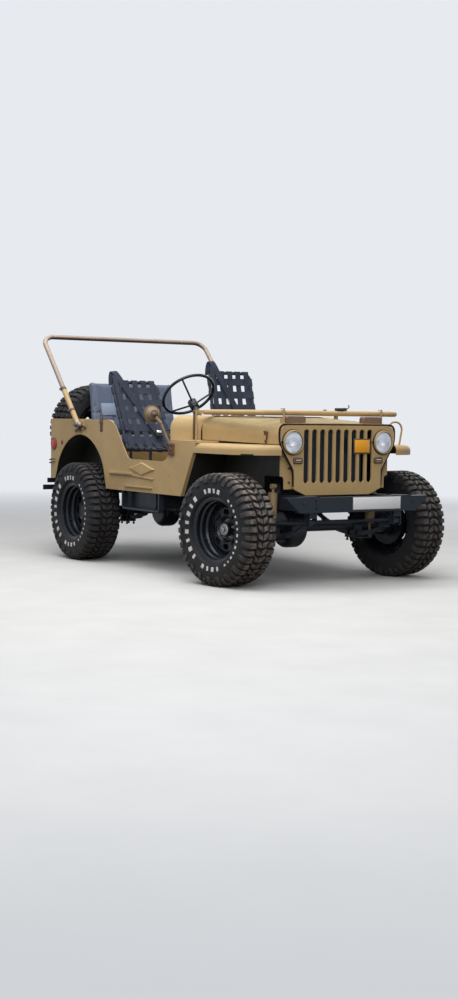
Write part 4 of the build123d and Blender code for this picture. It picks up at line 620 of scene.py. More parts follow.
def tyrePart(look):
    tread = treadPitch(look)
    pitchMesh = bpy.data.meshes.new("pitch")
    tread.to_mesh(pitchMesh)
    tread.free()
    piece = bmesh.new()
    for step in range(look["pitches"]):
        pitchMesh.transform(Matrix.Rotation(2 * pi / look["pitches"], 4, "Z"))
        piece.from_mesh(pitchMesh)
    bpy.data.meshes.remove(pitchMesh)
    # carcass from bead to bead, with a rib over the sidewall
    shoulder = [treadPoint(look, 0, look["flatHalf"] + step * 0.008, 0) for step in range(7)]
    half = [*look["inside"], *((point.x, point.z) for point in shoulder), *look["sidewall"]]
    profile = [(radius, -across) for radius, across in half[::-1]] + half[1:]
    addLathe(piece, profile, Matrix(), steps=104)
    # raised white marks on the outer sidewall, every other one shorter and leaning the other way
    for first, last, count, long, high, lean in look["marks"]:
        for number in range(count):
            angle = first + (last - first) * number / max(count - 1, 1)
            size = (high, long * (0.7 if number % 2 else 1), look["markThickness"])
            spot = turned(angle, "Z") @ shift(look["markRadius"], 0, look["markOut"]) @ turned(-5, "Y")
            addBox(piece, size, spot @ turned(lean if number % 2 else -lean, "Z"), 0.0012, slot=1, segments=1)
    return piece


tyreMesh = bpy.data.meshes.new("tyre")
tyrePiece = tyrePart(tyreLook)
tyrePiece.to_mesh(tyreMesh)
tyrePiece.free()


def placeTyre(name, node, body, matrix, turn, muddy):
    piece = bmesh.new()
    piece.from_mesh(tyreMesh)
    mud = piece.verts.layers.float["mud"]
    for vert in piece.verts:
        vert[mud] *= muddy
    piece.transform(matrix @ turned(turn, "Z"))
    finishPiece(name, piece, body, ["treadRubber", "whiteRubber"], [node], crease=28)


hubLook = {
    "nutCircle": 0.0582, "nutCount": 5, "nutSize": 0.0098, "studRadius": 0.0065, "faceDepth": -0.020,
    "hubFace": 0.022, "valve": (0.176, 0, 0.030), "valveAngle": 205,
    "dial": (    # radius, distance outward
        (0.0, 0.018), (0.010, 0.018), (0.014, 0.016), (0.018, 0.015), (0.020, 0.004), (0.036, 0.003), (0.039, 0.0),
    ),
    "dialScrews": 6, "dialCircle": 0.029,
}


def placeHub(name, body, matrix, finish, withDial, look):
    piece = bmesh.new()
    for number in range(look["nutCount"]):
        spot = turned(number * 360 / look["nutCount"] + 18, "Z") @ shift(look["nutCircle"], 0, look["faceDepth"])
        addDisc(piece, look["nutSize"] * 1.3, 0.004, spot)
        for radius, depth, sides in ((look["nutSize"], 0.015, 6), (look["studRadius"], 0.021, 12)):
            addDisc(piece, radius, depth, spot, sides=sides, bevel=0.002)
    if withDial:
        face = shift(0, 0, look["hubFace"])
        addLathe(piece, look["dial"], face, steps=36)
        addBox(piece, (0.020, 0.005, 0.005), face @ shift(0, 0, 0.018), 0.0015)
        for number in range(look["dialScrews"]):
            spot = turned(number * 360 / look["dialScrews"], "Z") @ face @ shift(look["dialCircle"], 0, 0.003)
            addDisc(piece, 0.0040, 0.004, spot, sides=6)
    # air valve near the rim's lip
    valve = turned(look["valveAngle"], "Z") @ shift(*look["valve"]) @ turned(12, "Y")
    addDisc(piece, 0.006, 0.030, valve, 1, sides=12, top=0.004)
    piece.transform(matrix)
    finishPiece(name, piece, body, [finish, "rubber"])


turnAndMud = {"front_right": (0, 1.0), "rear_right": (3, 0.2)}    # degrees, share; other wheels take the ones below
for place, matrix in wheelPlaces.items():
    name = "".join(word.capitalize() for word in place.split("_"))
    atFront = place.startswith("front")
    placeTyre("tyre" + name, "tyre_" + place, place + "_wheel", matrix, *turnAndMud.get(place, (130, 0.5)))
    placeHub("hub" + name, place + "_wheel", matrix, "hubSteel" if atFront else "castIron", atFront, hubLook)
spareLow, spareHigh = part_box("spare_tyre")
spareMatrix = wheelMatrix((spareLow + spareHigh) / 2, (-1, 0, 0))
placeTyre("tyreSpare", "spare_tyre", "chassis", spareMatrix, 40, 0.1)
placeHub("hubSpare", "chassis", spareMatrix, "castIron", False, hubLook)
print("wheels:", len(wheelPlaces) + 1)


# Straps: a flat band swept along its path, with how far along and across it in two attributes
def strapPart(points, acrossVector, width, thickness):
    part = bmesh.new()
    run = part.verts.layers.float.new("strapRun")
    side = part.verts.layers.float.new("strapSide")
    half = Vector(acrossVector).normalized() * width / 2
    first = Vector(points[0])
    columns = (-1, -0.33, 0.33, 1)
    rowVerts = [part.verts.new(first + half * column) for column in columns]
    for vert, column in zip(rowVerts, columns):
        vert[side] = width / 2 * (column + 1)
    rowEdges = [part.edges.new(pair) for pair in zip(rowVerts, rowVerts[1:])]
    travelled = 0.0
    for before, after in zip(points, points[1:]):
        step = Vector(after) - Vector(before)
        travelled += step.length
        made = bmesh.ops.extrude_edge_only(part, edges=rowEdges)["geom"]
        rowVerts = newVerts(made)
        edges = [item for item in made if isinstance(item, bmesh.types.BMEdge)]
        rowEdges = [edge for edge in edges if all(vert in rowVerts for vert in edge.verts)]
        bmesh.ops.translate(part, verts=rowVerts, vec=step)
        for vert in rowVerts:
            vert[run] = travelled
    bmesh.ops.recalc_face_normals(part, faces=part.faces)
    bmesh.ops.solidify(part, geom=part.faces[:], thickness=thickness)
    return part


def addStrap(piece, knots, steps, across, width, thickness):
    join(piece, strapPart(tracedPath(knots, steps), across, width, thickness))


def tracedPath(knots, steps):    # a smooth line through the knots
    path = []
    padded = [knots[0], *knots, knots[-1]]
    for a, b, c, d in zip(padded, padded[1:], padded[2:], padded[3:]):
        bend, twist = 2 * a - 5 * b + 4 * c - d, 3 * b - a - 3 * c + d
        for step in range(steps):
            t = step / steps
            path.append(0.5 * (2 * b + (c - a) * t + bend * t**2 + twist * t**3))
    path.append(knots[-1])
    return path


seatLook = {
    "places": {"driver": (-0.395, 27, 0.0), "passenger": (0.395, 14, 0.045)},    # y, recline, lift
    "halfWidth": 0.190, "tube": 0.013, "footBack": -1.611, "baseHeight": 0.863, "depth": 0.420, "backLength": 0.560,
    "strapThickness": 0.0022, "columns": 5, "columnWidth": 0.046, "rowPitch": 0.096, "rowWidth": 0.058,
    "weave": 0.0022, "sag": 0.010, "strapLift": 0.008, "edgeRoom": 0.040,
    "wrap": ((-0.5, -1.25), (-1.05, -0.75), (-1.3, 0.0), (-1.05, 0.85), (-0.3, 1.25)),    # round a tube, in its radii
}
sideways = Vector((0, 1, 0))


def wovenPanel(piece, origin, along, normal, length, look):
    tube, half, wrap = look["tube"], look["halfWidth"], look["wrap"]
    room = length - 3 * tube
    rows, columns = round(room / look["rowPitch"]), look["columns"]
    runs = [1.5 * tube + room * (number + 0.5) / rows for number in range(rows)]
    offs = [(-1 + 2 * number / (columns - 1)) * (half - look["edgeRoom"]) for number in range(columns)]

    def onPanel(run, off, out):
        return origin + along * run + sideways * off + normal * out

    def crossing(row, column, first):    # over one strap and under the next, on a panel that sags
        run, off = runs[row], offs[column]
        over = look["weave"] * (first if (row + column) % 2 else -first)
        sag = look["sag"] * (1 - (2 * run / length - 1) ** 2) * (1 - (off / half) ** 2)
        return onPanel(run, off, look["strapLift"] + over - sag)

    for row, run in enumerate(runs):    # straps across, wrapped round both side tubes
        knots = [onPanel(run, -half + a * tube, b * tube) for a, b in wrap]
        knots += [crossing(row, column, 1) for column in range(columns)]
        knots += [onPanel(run, half - a * tube, b * tube) for a, b in wrap[::-1]]
        addStrap(piece, knots, 3, along, look["rowWidth"], look["strapThickness"])
    for column, off in enumerate(offs):    # straps along, wrapped round both end tubes
        knots = [onPanel(a * tube, off, b * tube) for a, b in wrap]
        knots += [crossing(row, column, -1) for row in range(rows)]
        knots += [onPanel(length - a * tube, off, b * tube) for a, b in wrap[::-1]]
        addStrap(piece, knots, 3, sideways, look["columnWidth"], look["strapThickness"])


def seatFrame(middle, recline, lift, look):    # foot of the backrest, the way up it and the way out of it
    foot = Vector((ahead(look["footBack"]), middle, look["baseHeight"] + lift))
    up, out = sin(radians(recline)), cos(radians(recline))
    return foot, Vector((-up, 0, out)), Vector((out, 0, up))


for place, seat in seatLook["places"].items():
    foot, lean, faceNormal = seatFrame(*seat, seatLook)
    piece = bmesh.new()
    wovenPanel(piece, foot, lean, faceNormal, seatLook["backLength"], seatLook)
    wovenPanel(piece, foot, Vector((1, 0, 0)), Vector((0, 0, 1)), seatLook["depth"], seatLook)
    finishPiece(place + "SeatNet", piece, "chassis", ["webbing"], [place + "_seat_net"], crease=50)

# Belts: a pointed loop over the right shoulder, and a strap slanting down the back to a buckle
beltLook = {
    "width": 0.046, "frontWidth": 0.0368, "thickness": 0.0024, "inset": 0.022,
    # knots from the backrest's upper right corner: to the left, up, out of it
    "slant": (
        (-0.012, -0.010, -0.030), (-0.006, 0.057, -0.014), (0.010, 0.095, 0.004), (0.030, 0.04275, 0.022),
        (0.060, -0.040, 0.026), (0.140, -0.200, 0.024), (0.215, -0.360, 0.026), (0.275, -0.480, 0.034),
    ),
    "front": ((0.002, 0.050, 0.020), (-0.002, -0.060, 0.024), (0.002, -0.240, 0.022), (0.006, -0.420, 0.024)),
    # block and tongue: place, size, bevel, finish
    "buckle": (
        ((0.262, -0.452, 0.038), (0.052, 0.060, 0.012), 0.003, 1),
        ((0.262, -0.440, 0.046), (0.036, 0.020, 0.004), 0.001, 2),
    ),
}
piece = bmesh.new()
for seat in seatLook["places"].values():
    foot, lean, faceNormal = seatFrame(*seat, seatLook)
    corner = foot + sideways * (beltLook["inset"] - seatLook["halfWidth"]) + lean * seatLook["backLength"]

    def onBack(knot):
        return corner + sideways * knot[0] + lean * knot[1] + faceNormal * knot[2]

    for knots, way, width in (("slant", (0.25, 1, 0.1), "width"), ("front", sideways, "frontWidth")):
        addStrap(piece, [onBack(knot) for knot in beltLook[knots]], 4, way, beltLook[width], beltLook["thickness"])
    for spot, size, bevel, slot in beltLook["buckle"]:
        addBox(piece, size, Matrix.Translation(onBack(spot)) @ facingTurn(faceNormal), bevel, slot)
finishNames = ["webbing", "helmPlastic", "brightSteel"]
finishPiece("seatBelts", piece, "chassis", finishNames, ["seat_belts"], crease=50)
print("seats and belts")

# Rear bench in vinyl: swollen by cloth pressure, then its sewn channels are pressed in
benchLook = {
    "halfWidth": 0.402, "seams": (-0.359, -0.192, 0.0, 0.192, 0.359), "bandHeight": 0.40,
    "channelDepth": 0.012, "channelWidth": 0.010, "cushionCorner": 0.028, "backCorner": 0.024, "topCorner": 0.075,
    "voxel": 0.008, "most": 0.012, "frames": 20,    # how far it may swell, and for how long
    "cloth": {
        "use_pressure": True, "uniform_pressure_force": 4.0, "quality": 5, "mass": 0.3, "tension_stiffness": 15,
        "shrink_min": -0.03,
    },
}
backLook = {"lean": 11, "thickness": 0.070, "bottomBack": -2.535, "bottomHeight": 0.950, "length": 0.454}


def swell(obj, look):
    scene = bpy.context.scene
    remesh = obj.modifiers.new("Remesh", "REMESH")
    remesh.mode = "VOXEL"
    remesh.voxel_size = look["voxel"]
    bpy.context.view_layer.objects.active = obj
    for other in bpy.context.selected_objects:
        other.select_set(False)
    obj.select_set(True)
    bpy.ops.object.modifier_apply(modifier="Remesh")
    start = [vert.co.copy() for vert in obj.data.vertices]
    cloth = obj.modifiers.new("Cloth", "CLOTH")
    for setting, value in look["cloth"].items():
        setattr(cloth.settings, setting, value)
    cloth.settings.effector_weights.gravity = 0
    cloth.point_cache.frame_start = 1
    cloth.point_cache.frame_end = look["frames"]
    for step in range(1, look["frames"] + 1):
        scene.frame_set(step)
    bpy.ops.object.modifier_apply(modifier="Cloth")
    scene.frame_set(1)
    for vert, rest in zip(obj.data.vertices, start):
        moved = vert.co - rest
        if moved.length > look["most"]:
            vert.co = rest + moved.normalized() * look["most"]


def pressChannels(obj, inward, distance, look):    # distance() goes from a vertex to its nearest seam
    mesh = obj.data
    normals = [vert.normal.copy() for vert in mesh.vertices]
    for vert, normal in zip(mesh.vertices, normals):
        facing = max(0.0, -normal.dot(inward))
        if facing > 0.25:
            depth = look["channelDepth"] / (1 + (distance(vert.co) / look["channelWidth"]) ** 2)
            vert.co -= normal * depth * facing


def softBlock(name, size, matrix, corner):
    part = boxPart(*size, bevel=corner, segments=4)
    part.transform(matrix)
    return makeObject(name, part)


def nearestSeam(place, look):
    return min(abs(place.y - seam) for seam in look["seams"])


def finishSoft(obj, body, replaced, finishName):
    modifier = obj.modifiers.new("Subdivision", "SUBSURF")
    modifier.levels = modifier.render_levels = 1
    obj.data.materials.clear()
    obj.data.materials.append(materials[finishName])
    for face in obj.data.polygons:
        face.use_smooth = True
    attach(obj, body)
    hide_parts(*replaced)


cushionLow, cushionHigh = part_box("bench_cushion")
size = cushionHigh - cushionLow - Vector((0.022, 0.022, 0.016))    # room to swell
cushionPlace = Matrix.Translation((cushionLow + cushionHigh) / 2)
cushion = softBlock("benchCushion", size, cushionPlace, benchLook["cushionCorner"])
swell(cushion, benchLook)
pressChannels(cushion, Vector((0, 0, -1)), lambda place: nearestSeam(place, benchLook), benchLook)
finishSoft(cushion, "chassis", ["bench_cushion"], "blackVinyl")

backLength, benchHalf = backLook["length"], benchLook["halfWidth"]
leanMatrix = shift(ahead(backLook["bottomBack"]), 0, backLook["bottomHeight"]) @ turned(-backLook["lean"], "Y")
backPlace = leanMatrix @ shift(-backLook["thickness"] / 2 + 0.004, 0, backLength / 2 + 0.002)
size = (backLook["thickness"] - 0.018, 2 * benchHalf - 0.012, backLength - 0.016)
backrest = softBlock("benchBackrest", size, backPlace, benchLook["backCorner"])
inset = benchLook["topCorner"]
for vert in backrest.data.vertices:    # rounded top corners, in the plane of the backrest
    local = leanMatrix.inverted() @ vert.co
    past = Vector((max(0.0, abs(local.y) - (benchHalf - inset)), max(0.0, local.z - (backLength - inset))))
    if past.x > 0 and past.y > 0 and past.length > inset:
        past = past.normalized() * inset
        local.y = (benchHalf - inset + past.x) * (1 if local.y > 0 else -1)
        local.z = backLength - inset + past.y
        vert.co = leanMatrix @ local
swell(backrest, benchLook)


def backSeams(place):    # the upright seams and the level band
    band = abs((leanMatrix.inverted() @ place).z - backLength * benchLook["bandHeight"])
    return min(nearestSeam(place, benchLook), band)


pressChannels(backrest, -(leanMatrix.to_3x3() @ Vector((1, 0, 0))), backSeams, benchLook)
finishSoft(backrest, "chassis", ["bench_backrest"], "blackVinyl")
patchLook = {"place": (0.0085, -0.243, 0.210), "size": (0.006, 0.132, 0.100)}    # paler repair sewn on the right
piece = bmesh.new()
addBox(piece, patchLook["size"], leanMatrix @ shift(*patchLook["place"]), 0.0025)
finishPiece("benchPatch", piece, "chassis", ["paleVinyl"])
print("bench")

grilleFace, bumperFace, tubSide = ahead(0.268), ahead(0.509), 0.728
forward, backward = turned(90, "Y"), turned(-90, "Y")    # local Z to the front or the rear
bothSides = (-1, 1)    # right, left


def toSide(side):    # local Z out of that side
    return turned(-90 * side, "X")


# Headlamps: reflector, bulb shield, domed glass and a thin bright ring
lampLook = {
    "y": 0.371, "z": 0.950,
    # profiles of (radius, distance forward)
    "reflector": (
        (0.010, -0.070), (0.024, -0.066), (0.040, -0.056), (0.054, -0.038), (0.062, -0.018), (0.0665, 0.004),
        (0.0685, 0.004),
    ),
    "shield": ((0.0, -0.070), (0.012, -0.068), (0.011, -0.030), (0.013, -0.024), (0.0, -0.020)),
    "ring": (
        (0.0712, 0.006), (0.0712, 0.0165), (0.0735, 0.0185), (0.0785, 0.0165), (0.0815, 0.009), (0.0825, 0.0),
        (0.078, 0.0), (0.0712, 0.006),
    ),
    "outline": ((0.0820, 0.004), (0.0838, 0.0060), (0.0858, 0.0050), (0.0865, 0.0), (0.0820, 0.0), (0.0820, 0.004)),
    "domeRadii": (0.0, 0.012, 0.026, 0.040, 0.052, 0.062, 0.069, 0.0715), "domeTop": 0.029, "domeDrop": 0.015,
    "domeRadius": 0.072, "domeFoot": 0.0115, "glass": 0.003,
}
top, drop, edge = lampLook["domeTop"], lampLook["domeDrop"], lampLook["domeRadius"]
dome = [(radius, top - drop * (radius / edge) ** 2) for radius in lampLook["domeRadii"]]
inner = [(radius, height - lampLook["glass"]) for radius, height in dome[-2::-1]]
domeProfile = [*dome, (dome[-1][0], lampLook["domeFoot"]), *inner]
lampPiece, glassPiece = bmesh.new(), bmesh.new()
for side in bothSides:
    matrix = shift(grilleFace, side * lampLook["y"], lampLook["z"]) @ forward
    addLathe(lampPiece, lampLook["reflector"], matrix)
    addLathe(lampPiece, lampLook["shield"], matrix, steps=20)
    addLathe(lampPiece, lampLook["ring"], matrix, slot=1)
    addLathe(lampPiece, lampLook["outline"], matrix, slot=2)
    addBox(lampPiece, (0.012, 0.018, 0.010), matrix @ shift(0, -0.085, 0.006), 0.002, slot=2)
    addLathe(glassPiece, domeProfile, matrix)
finishPiece("lampReflectors", lampPiece, "chassis", ["lampSilver", "bodyPaint", "sealRubber"])
finishPiece("lampGlasses", glassPiece, "chassis", ["lampGlass"], ["headlamp_lenses"])

# Marker lamps under them, and red reflectors on the tail corners
markerLook = {
    "y": 0.331, "z": 0.829, "width": 0.074, "height": 0.042,
    # panes on the lamp's face: height, how much narrower than it, thickness, bevel, down, forward, finish
    "panes": (
        (0.012, 0.020, 0.010, 0.004, -0.004, 0.009, 1), (0.008, 0.024, 0.008, 0.003, 0.010, 0.009, 2),
        (0.005, 0.030, 0.008, 0.002, -0.004, 0.0115, 4),
    ),
    "tail": (ahead(-2.571), tubSide, 0.878),
    "tailCup": (    # radius, distance outward
        (0.0, 0.0), (0.048, 0.0), (0.0485, 0.005), (0.046, 0.009), (0.041, 0.009), (0.0395, 0.006), (0.0, 0.006),
    ),
    "tailLens": ((0.0, 0.0125), (0.015, 0.0120), (0.030, 0.0100), (0.0395, 0.0065)),
}
piece = bmesh.new()
x, y, z = markerLook["tail"]
for side in bothSides:
    matrix = shift(grilleFace, side * markerLook["y"], markerLook["z"]) @ forward
    size = (markerLook["height"], markerLook["width"], 0.022)
    addBox(piece, size, matrix @ shift(0, 0, 0.001), 0.010, segments=4)
    for height, narrower, thickness, bevel, down, out, slot in markerLook["panes"]:
        size = (height, markerLook["width"] - narrower, thickness)
        addBox(piece, size, matrix @ shift(down, 0, out), bevel, slot)
    tail = shift(x, side * y, z) @ toSide(side)
    addLathe(piece, markerLook["tailCup"], tail)
    addLathe(piece, markerLook["tailLens"], tail, slot=3)
finishNames = ["brownPaint", "dialFace", "amberLens", "redLens", "whitePlate"]
finishPiece("smallLamps", piece, "chassis", finishNames, ["marker_lamps"])

# Blank plates, each on its brown rim: a yellow badge on the grille and a white plate on the bumper
plateLook = {
    # place, width, height, rim, thickness, bevel, how far the plate stands before its rim, finish
    "badge": ((grilleFace + 0.004, 0.1925, 0.924), 0.141, 0.102, 0.018, 0.004, 0.0015, 0.0015, 0),
    "number": ((bumperFace + 0.0015, 0.142, 0.556), 0.404, 0.092, 0.012, 0.003, 0.001, 0.0015, 1),
    "badgeBolts": ((grilleFace + 0.006, 0.134, 0.924), (grilleFace + 0.006, 0.251, 0.924)),
}
piece = bmesh.new()
for plate in ("badge", "number"):
    spot, width, height, rim, thickness, bevel, proud, slot = plateLook[plate]
    addBox(piece, (thickness, width, height), shift(*spot), bevel, slot=3)
    addBox(piece, (thickness, width - rim, height - rim), shift(spot[0] + proud, *spot[1:]), bevel, slot)
boltHeads(piece, plateLook["badgeBolts"], (1, 0, 0), 0.004, slot=2)
finishPiece("blankPlates", piece, "chassis", ["yellowPlate", "whitePlate", "bareSteel", "brownPaint"])

# Bolts on the bumper, grille and tub
boltLook = {    # for each row: spots (x, y, z), the way that they face, size, finish
    "bumper": (((bumperFace, 0.445, 0.565),), "front", 0.009, 1),
    "grille": ([(ahead(0.231), 0.375, z) for z in (0.685, 0.777)], "front", 0.007, 2),
    "step": ([(ahead(-0.735), tubSide, z) for z in (0.62, 0.70, 0.78)], "side", 0.005, 0),
    "sill": ([(ahead(x), tubSide, 0.600) for x in (-0.70, -0.98, -1.26, -1.50)], "side", 0.0045, 0),
    "tail": ([(ahead(-2.661), 0.66, z) for z in (0.66, 0.78, 0.90, 1.02)], "rear", 0.005, 0),
}
piece = bmesh.new()
addDisc(piece, 0.013, 0.003, shift(bumperFace, -0.338, 0.559) @ forward, 1)
for side in bothSides:
    ways = {"front": (1, 0, 0), "side": (0, side, 0), "rear": (-1, 0, 0)}
    for spots, way, size, slot in boltLook.values():
        boltHeads(piece, [(x, side * y, z) for x, y, z in spots], ways[way], size, slot)
finishPiece("bodyBolts", piece, "chassis", ["bodyPaint", "blackPaint", "brownPaint"])

# Dark rubber bead round the grille, and the strip between the cowl and the bonnet
sealLook = {    # half of each path as (y, z)
    "grilleX": ahead(0.262), "grille": ((0.362, 0.660), (0.362, 0.765), (0.4735, 0.939), (0.4735, 1.0665)),
    "cowlX": ahead(-0.5765), "cowl": ((0.5555, 0.950), (0.5555, 1.1090)), "bead": 0.0070,
}
piece = bmesh.new()
for part, corner, steps in (("grille", 0.050, 6), ("cowl", 0.120, 12)):
    x, half = sealLook[part + "X"], sealLook[part]
    path = [(x, -y, z) for y, z in half] + [(x, y, z) for y, z in half[::-1]]
    addRod(piece, path, corner, sealLook["bead"], steps=steps)
finishPiece("bodySeals", piece, "chassis", ["sealRubber"])

# Hook latches on the bonnet's sides
latchLook = {
    "path": ((0.092, 1.016), (0.126, 1.008), (0.131, 0.990), (0.112, 0.935)), "y": 0.483, "rod": 0.0048,
    # catch and hinge: size, place, tilt
    "blocks": (
        ((0.034, 0.008, 0.016), (ahead(0.112), 0.478, 1.012), 12),
        ((0.036, 0.012, 0.008), (ahead(0.112), 0.480, 0.935), 0),
    ),
    "bolts": ((ahead(0.104), 0.481, 0.955), (ahead(0.104), 0.481, 0.998)),
}
piece = bmesh.new()
for side in bothSides:
    addRod(piece, [(ahead(x), side * latchLook["y"], z) for x, z in latchLook["path"]], 0.010, latchLook["rod"])
    for size, (x, y, z), tilt in latchLook["blocks"]:
        addBox(piece, size, shift(x, side * y, z) @ turned(tilt, "Y"), 0.002)
    boltHeads(piece, [(x, side * y, z) for x, y, z in latchLook["bolts"]], (0, side, 0), 0.0045)
finishPiece("bonnetLatches", piece, "chassis", ["rustySteel"])

# Windscreen: rubber round its panes, a wiper motor on the head rail and strips on the two posts, whose dark brown is
# painted shade
paneLook = {
    "back": ahead(-0.542), "front": ahead(0.154), "inner": 0.011, "outer": 0.547, "corner": 0.026,
    "heights": (1.137, 1.147), "seal": 0.005,
}
piece = bmesh.new()
back, front = paneLook["back"], paneLook["front"]
for side in bothSides:
    inner, outer = side * paneLook["inner"], side * paneLook["outer"]
    for z in paneLook["heights"]:
        corners = [(back, inner, z), (front, inner, z), (front, outer, z), (back, outer, z)]
        middle = (back, (outer + inner) / 2, z)
        addRod(piece, [middle, *corners, middle], paneLook["corner"], paneLook["seal"], closed=True)
finishPiece("paneSeals", piece, "windscreen", ["sealRubber"])

wiperLook = {
    "place": (ahead(0.168), 0.075, 1.158),
    "lever": ((0.0, 0.045, 0.014), (0.0, 0.072, 0.018), (-0.004, 0.086, 0.032), (-0.008, 0.080, 0.042)),
    "rod": 0.0035,
}
piece = bmesh.new()
x, y, z = wiperLook["place"]
addBox(piece, (0.034, 0.060, 0.022), shift(x, y, z + 0.010), 0.006, segments=3)
addDisc(piece, 0.011, 0.030, shift(x, y + 0.028, z + 0.012) @ toSide(1), sides=20, bevel=0.003)
addRod(piece, [(x + off, y + along, z + up) for off, along, up in wiperLook["lever"]], 0.010, wiperLook["rod"])
addBox(piece, (0.012, 0.024, 0.010), shift(x, y - 0.120, z + 0.004), 0.003, slot=1)
finishPiece("wiperMotor", piece, "windscreen", ["helmPlastic", "rustySteel"])

postLook = {
    "x": ahead(-0.590), "y": 0.6110, "z": 1.050, "size": (0.026, 0.003, 0.192), "hinge": 1.142,
    "bolts": (0.965, 1.030),
}
piece = bmesh.new()
for side in bothSides:
    x, outer = postLook["x"], side * (postLook["y"] + 0.0015)
    # the strip on the post: dark brown as painted shade
    addBox(piece, postLook["size"], shift(x, side * postLook["y"], postLook["z"]), 0.001)
    addDisc(piece, 0.013, 0.006, shift(x, outer, postLook["hinge"]) @ toSide(side), sides=20, bevel=0.002)
    boltHeads(piece, [(x, outer, z) for z in postLook["bolts"]], (0, side, 0), 0.006)
finishPiece("postStrips", piece, "chassis", ["brownPaint"])

# Mirror: glass in its rim on the rear face, a domed boss in front, a joint clamp and the bolted foot
mirrorLook = {
    "place": (ahead(-0.785), -0.835, 1.121), "glassBehind": 0.010, "bossAhead": 0.030,
    # profiles of (radius, distance outward)
    "glass": ((0.0, 0.0015), (0.030, 0.0012), (0.057, 0.0004), (0.057, -0.001)),
    "rim": (
        (0.0565, -0.001), (0.0565, 0.0025), (0.0605, 0.0045), (0.0645, 0.001), (0.0648, -0.012), (0.0632, -0.012),
    ),
    "boss": (
        (0.0, 0.016), (0.007, 0.016), (0.010, 0.012), (0.016, 0.010), (0.022, 0.002), (0.033, -0.001),
        (0.0365, -0.005),
    ),
    "foot": (ahead(-0.690), -0.738, 0.880), "footSize": (0.074, 0.005, 0.084), "footBolts": (0.026, 0.028),
    "clamp": ((0.0125, -0.012), (0.0175, -0.010), (0.0175, 0.010), (0.0125, 0.012)), "clampZ": 0.912,
}
piece = bmesh.new()
x, y, z = mirrorLook["place"]
back = shift(x - mirrorLook["glassBehind"], y, z) @ backward
front = shift(x + mirrorLook["bossAhead"], y, z) @ forward
addLathe(piece, mirrorLook["glass"], back)
addLathe(piece, mirrorLook["rim"], back, slot=1)
addLathe(piece, mirrorLook["boss"], front, slot=1, steps=32)
addDisc(piece, 0.0065, 0.009, front @ shift(0, 0, 0.013), 2, sides=6, bevel=0.001)
x, y, z = mirrorLook["foot"]
off, up = mirrorLook["footBolts"]
addBox(piece, mirrorLook["footSize"], shift(x, y - 0.002, z), 0.0018, slot=2)
spots = [(x + along * off, y - 0.0045, z + high * up) for high in (1, -1) for along in (-1, 1)]
boltHeads(piece, spots, (0, -1, 0), 0.006, slot=2)
addLathe(piece, mirrorLook["clamp"], shift(x, -0.7455, mirrorLook["clampZ"]) @ turned(-62, "X"), slot=2, steps=24)
finishPiece("mirrorTrim", piece, "chassis", ["brightSteel", "brownPaint", "rustySteel"])

# Dials and switches on the rear face of the dash
dashLook = {
    "x": ahead(-0.716),
    "dials": (    # y, z, radius
        (0.0, 1.020, 0.050), (-0.105, 1.050, 0.027), (-0.105, 0.985, 0.027), (0.105, 1.050, 0.027),
        (0.105, 0.985, 0.027),
    ),
    # profile of a dial's rim as (share of the radius, distance outward)
    "rim": ((0.86, 0.003), (0.88, 0.006), (0.96, 0.0065), (1.0, 0.003), (1.0, -0.001)), "ticks": 9,
    "knobs": ((-0.20, 0.950), (-0.05, 0.930), (0.05, 0.930), (0.18, 0.950), (0.24, 0.950)),
    "knob": ((0.004, 0.0), (0.004, 0.012), (0.010, 0.014), (0.0105, 0.022), (0.007, 0.026), (0.0, 0.026)),
}
piece = bmesh.new()
for y, z, radius in dashLook["dials"]:
    dial = shift(dashLook["x"], y, z) @ backward
    face = radius * dashLook["rim"][0][0]
    addLathe(piece, [(0.0, 0.001), (face, 0.001), (face, 0.004)], dial)
    addLathe(piece, [(radius * share, out) for share, out in dashLook["rim"]], dial, slot=1)
    for number in range(dashLook["ticks"]):
        tick = dial @ turned(number * 30 - 120, "Z") @ shift(radius * 0.70, 0, 0.0018)
        addBox(piece, (radius * (0.12 if number % 2 else 0.20), radius * 0.04, 0.0006), tick, slot=2)
    needle = dial @ turned(radius * 3000, "Z") @ shift(radius * 0.24, 0, 0.0026)
    addBox(piece, (radius * 0.62, radius * 0.05, 0.0010), needle, slot=2)
    addDisc(piece, radius * 0.10, 0.003, dial @ shift(0, 0, 0.001), sides=16)
for y, z in dashLook["knobs"]:
    addLathe(piece, dashLook["knob"], shift(dashLook["x"], y, z) @ backward, steps=20)
finishPiece("dashDials", piece, "chassis", ["dialFace", "brightSteel", "whitePlate"])

# Leather strap over the tub's top edge on each side
strapLook = {
    "x": ahead(-1.755), "width": 0.042, "thickness": 0.003,
    "knots": (    # y, z
        (0.7300, 0.985), (0.7310, 1.030), (0.7325, 1.060), (0.7320, 1.0795), (0.7180, 1.084), (0.7010, 1.0795),
        (0.7000, 1.050),
    ),
    "ring": ((-0.018, 1.088), (-0.018, 1.118), (0.018, 1.118), (0.018, 1.088), (-0.018, 1.088)),
    "ringCorner": 0.006, "rod": 0.0035, "plate": (0.7350, 1.058), "plateSize": (0.048, 0.006, 0.020),
    "bolt": (0.7325, 0.998),
}
piece = bmesh.new()
x = strapLook["x"]
for side in bothSides:
    knots = [Vector((x, side * y, z)) for y, z in strapLook["knots"]]
    addStrap(piece, knots, 4, (1, 0, 0), strapLook["width"], strapLook["thickness"])
    ring = [(x + off, side * tubSide, z) for off, z in strapLook["ring"]]
    addRod(piece, ring, strapLook["ringCorner"], strapLook["rod"], slot=1, closed=True)
    y, z = strapLook["plate"]
    addBox(piece, strapLook["plateSize"], shift(x, side * y, z), 0.002, slot=1)
    y, z = strapLook["bolt"]
    boltHeads(piece, [(x, side * y, z)], (0, side, 0), 0.006, slot=1)
finishPiece("sideStraps", piece, "chassis", ["leather", "brownPaint"])

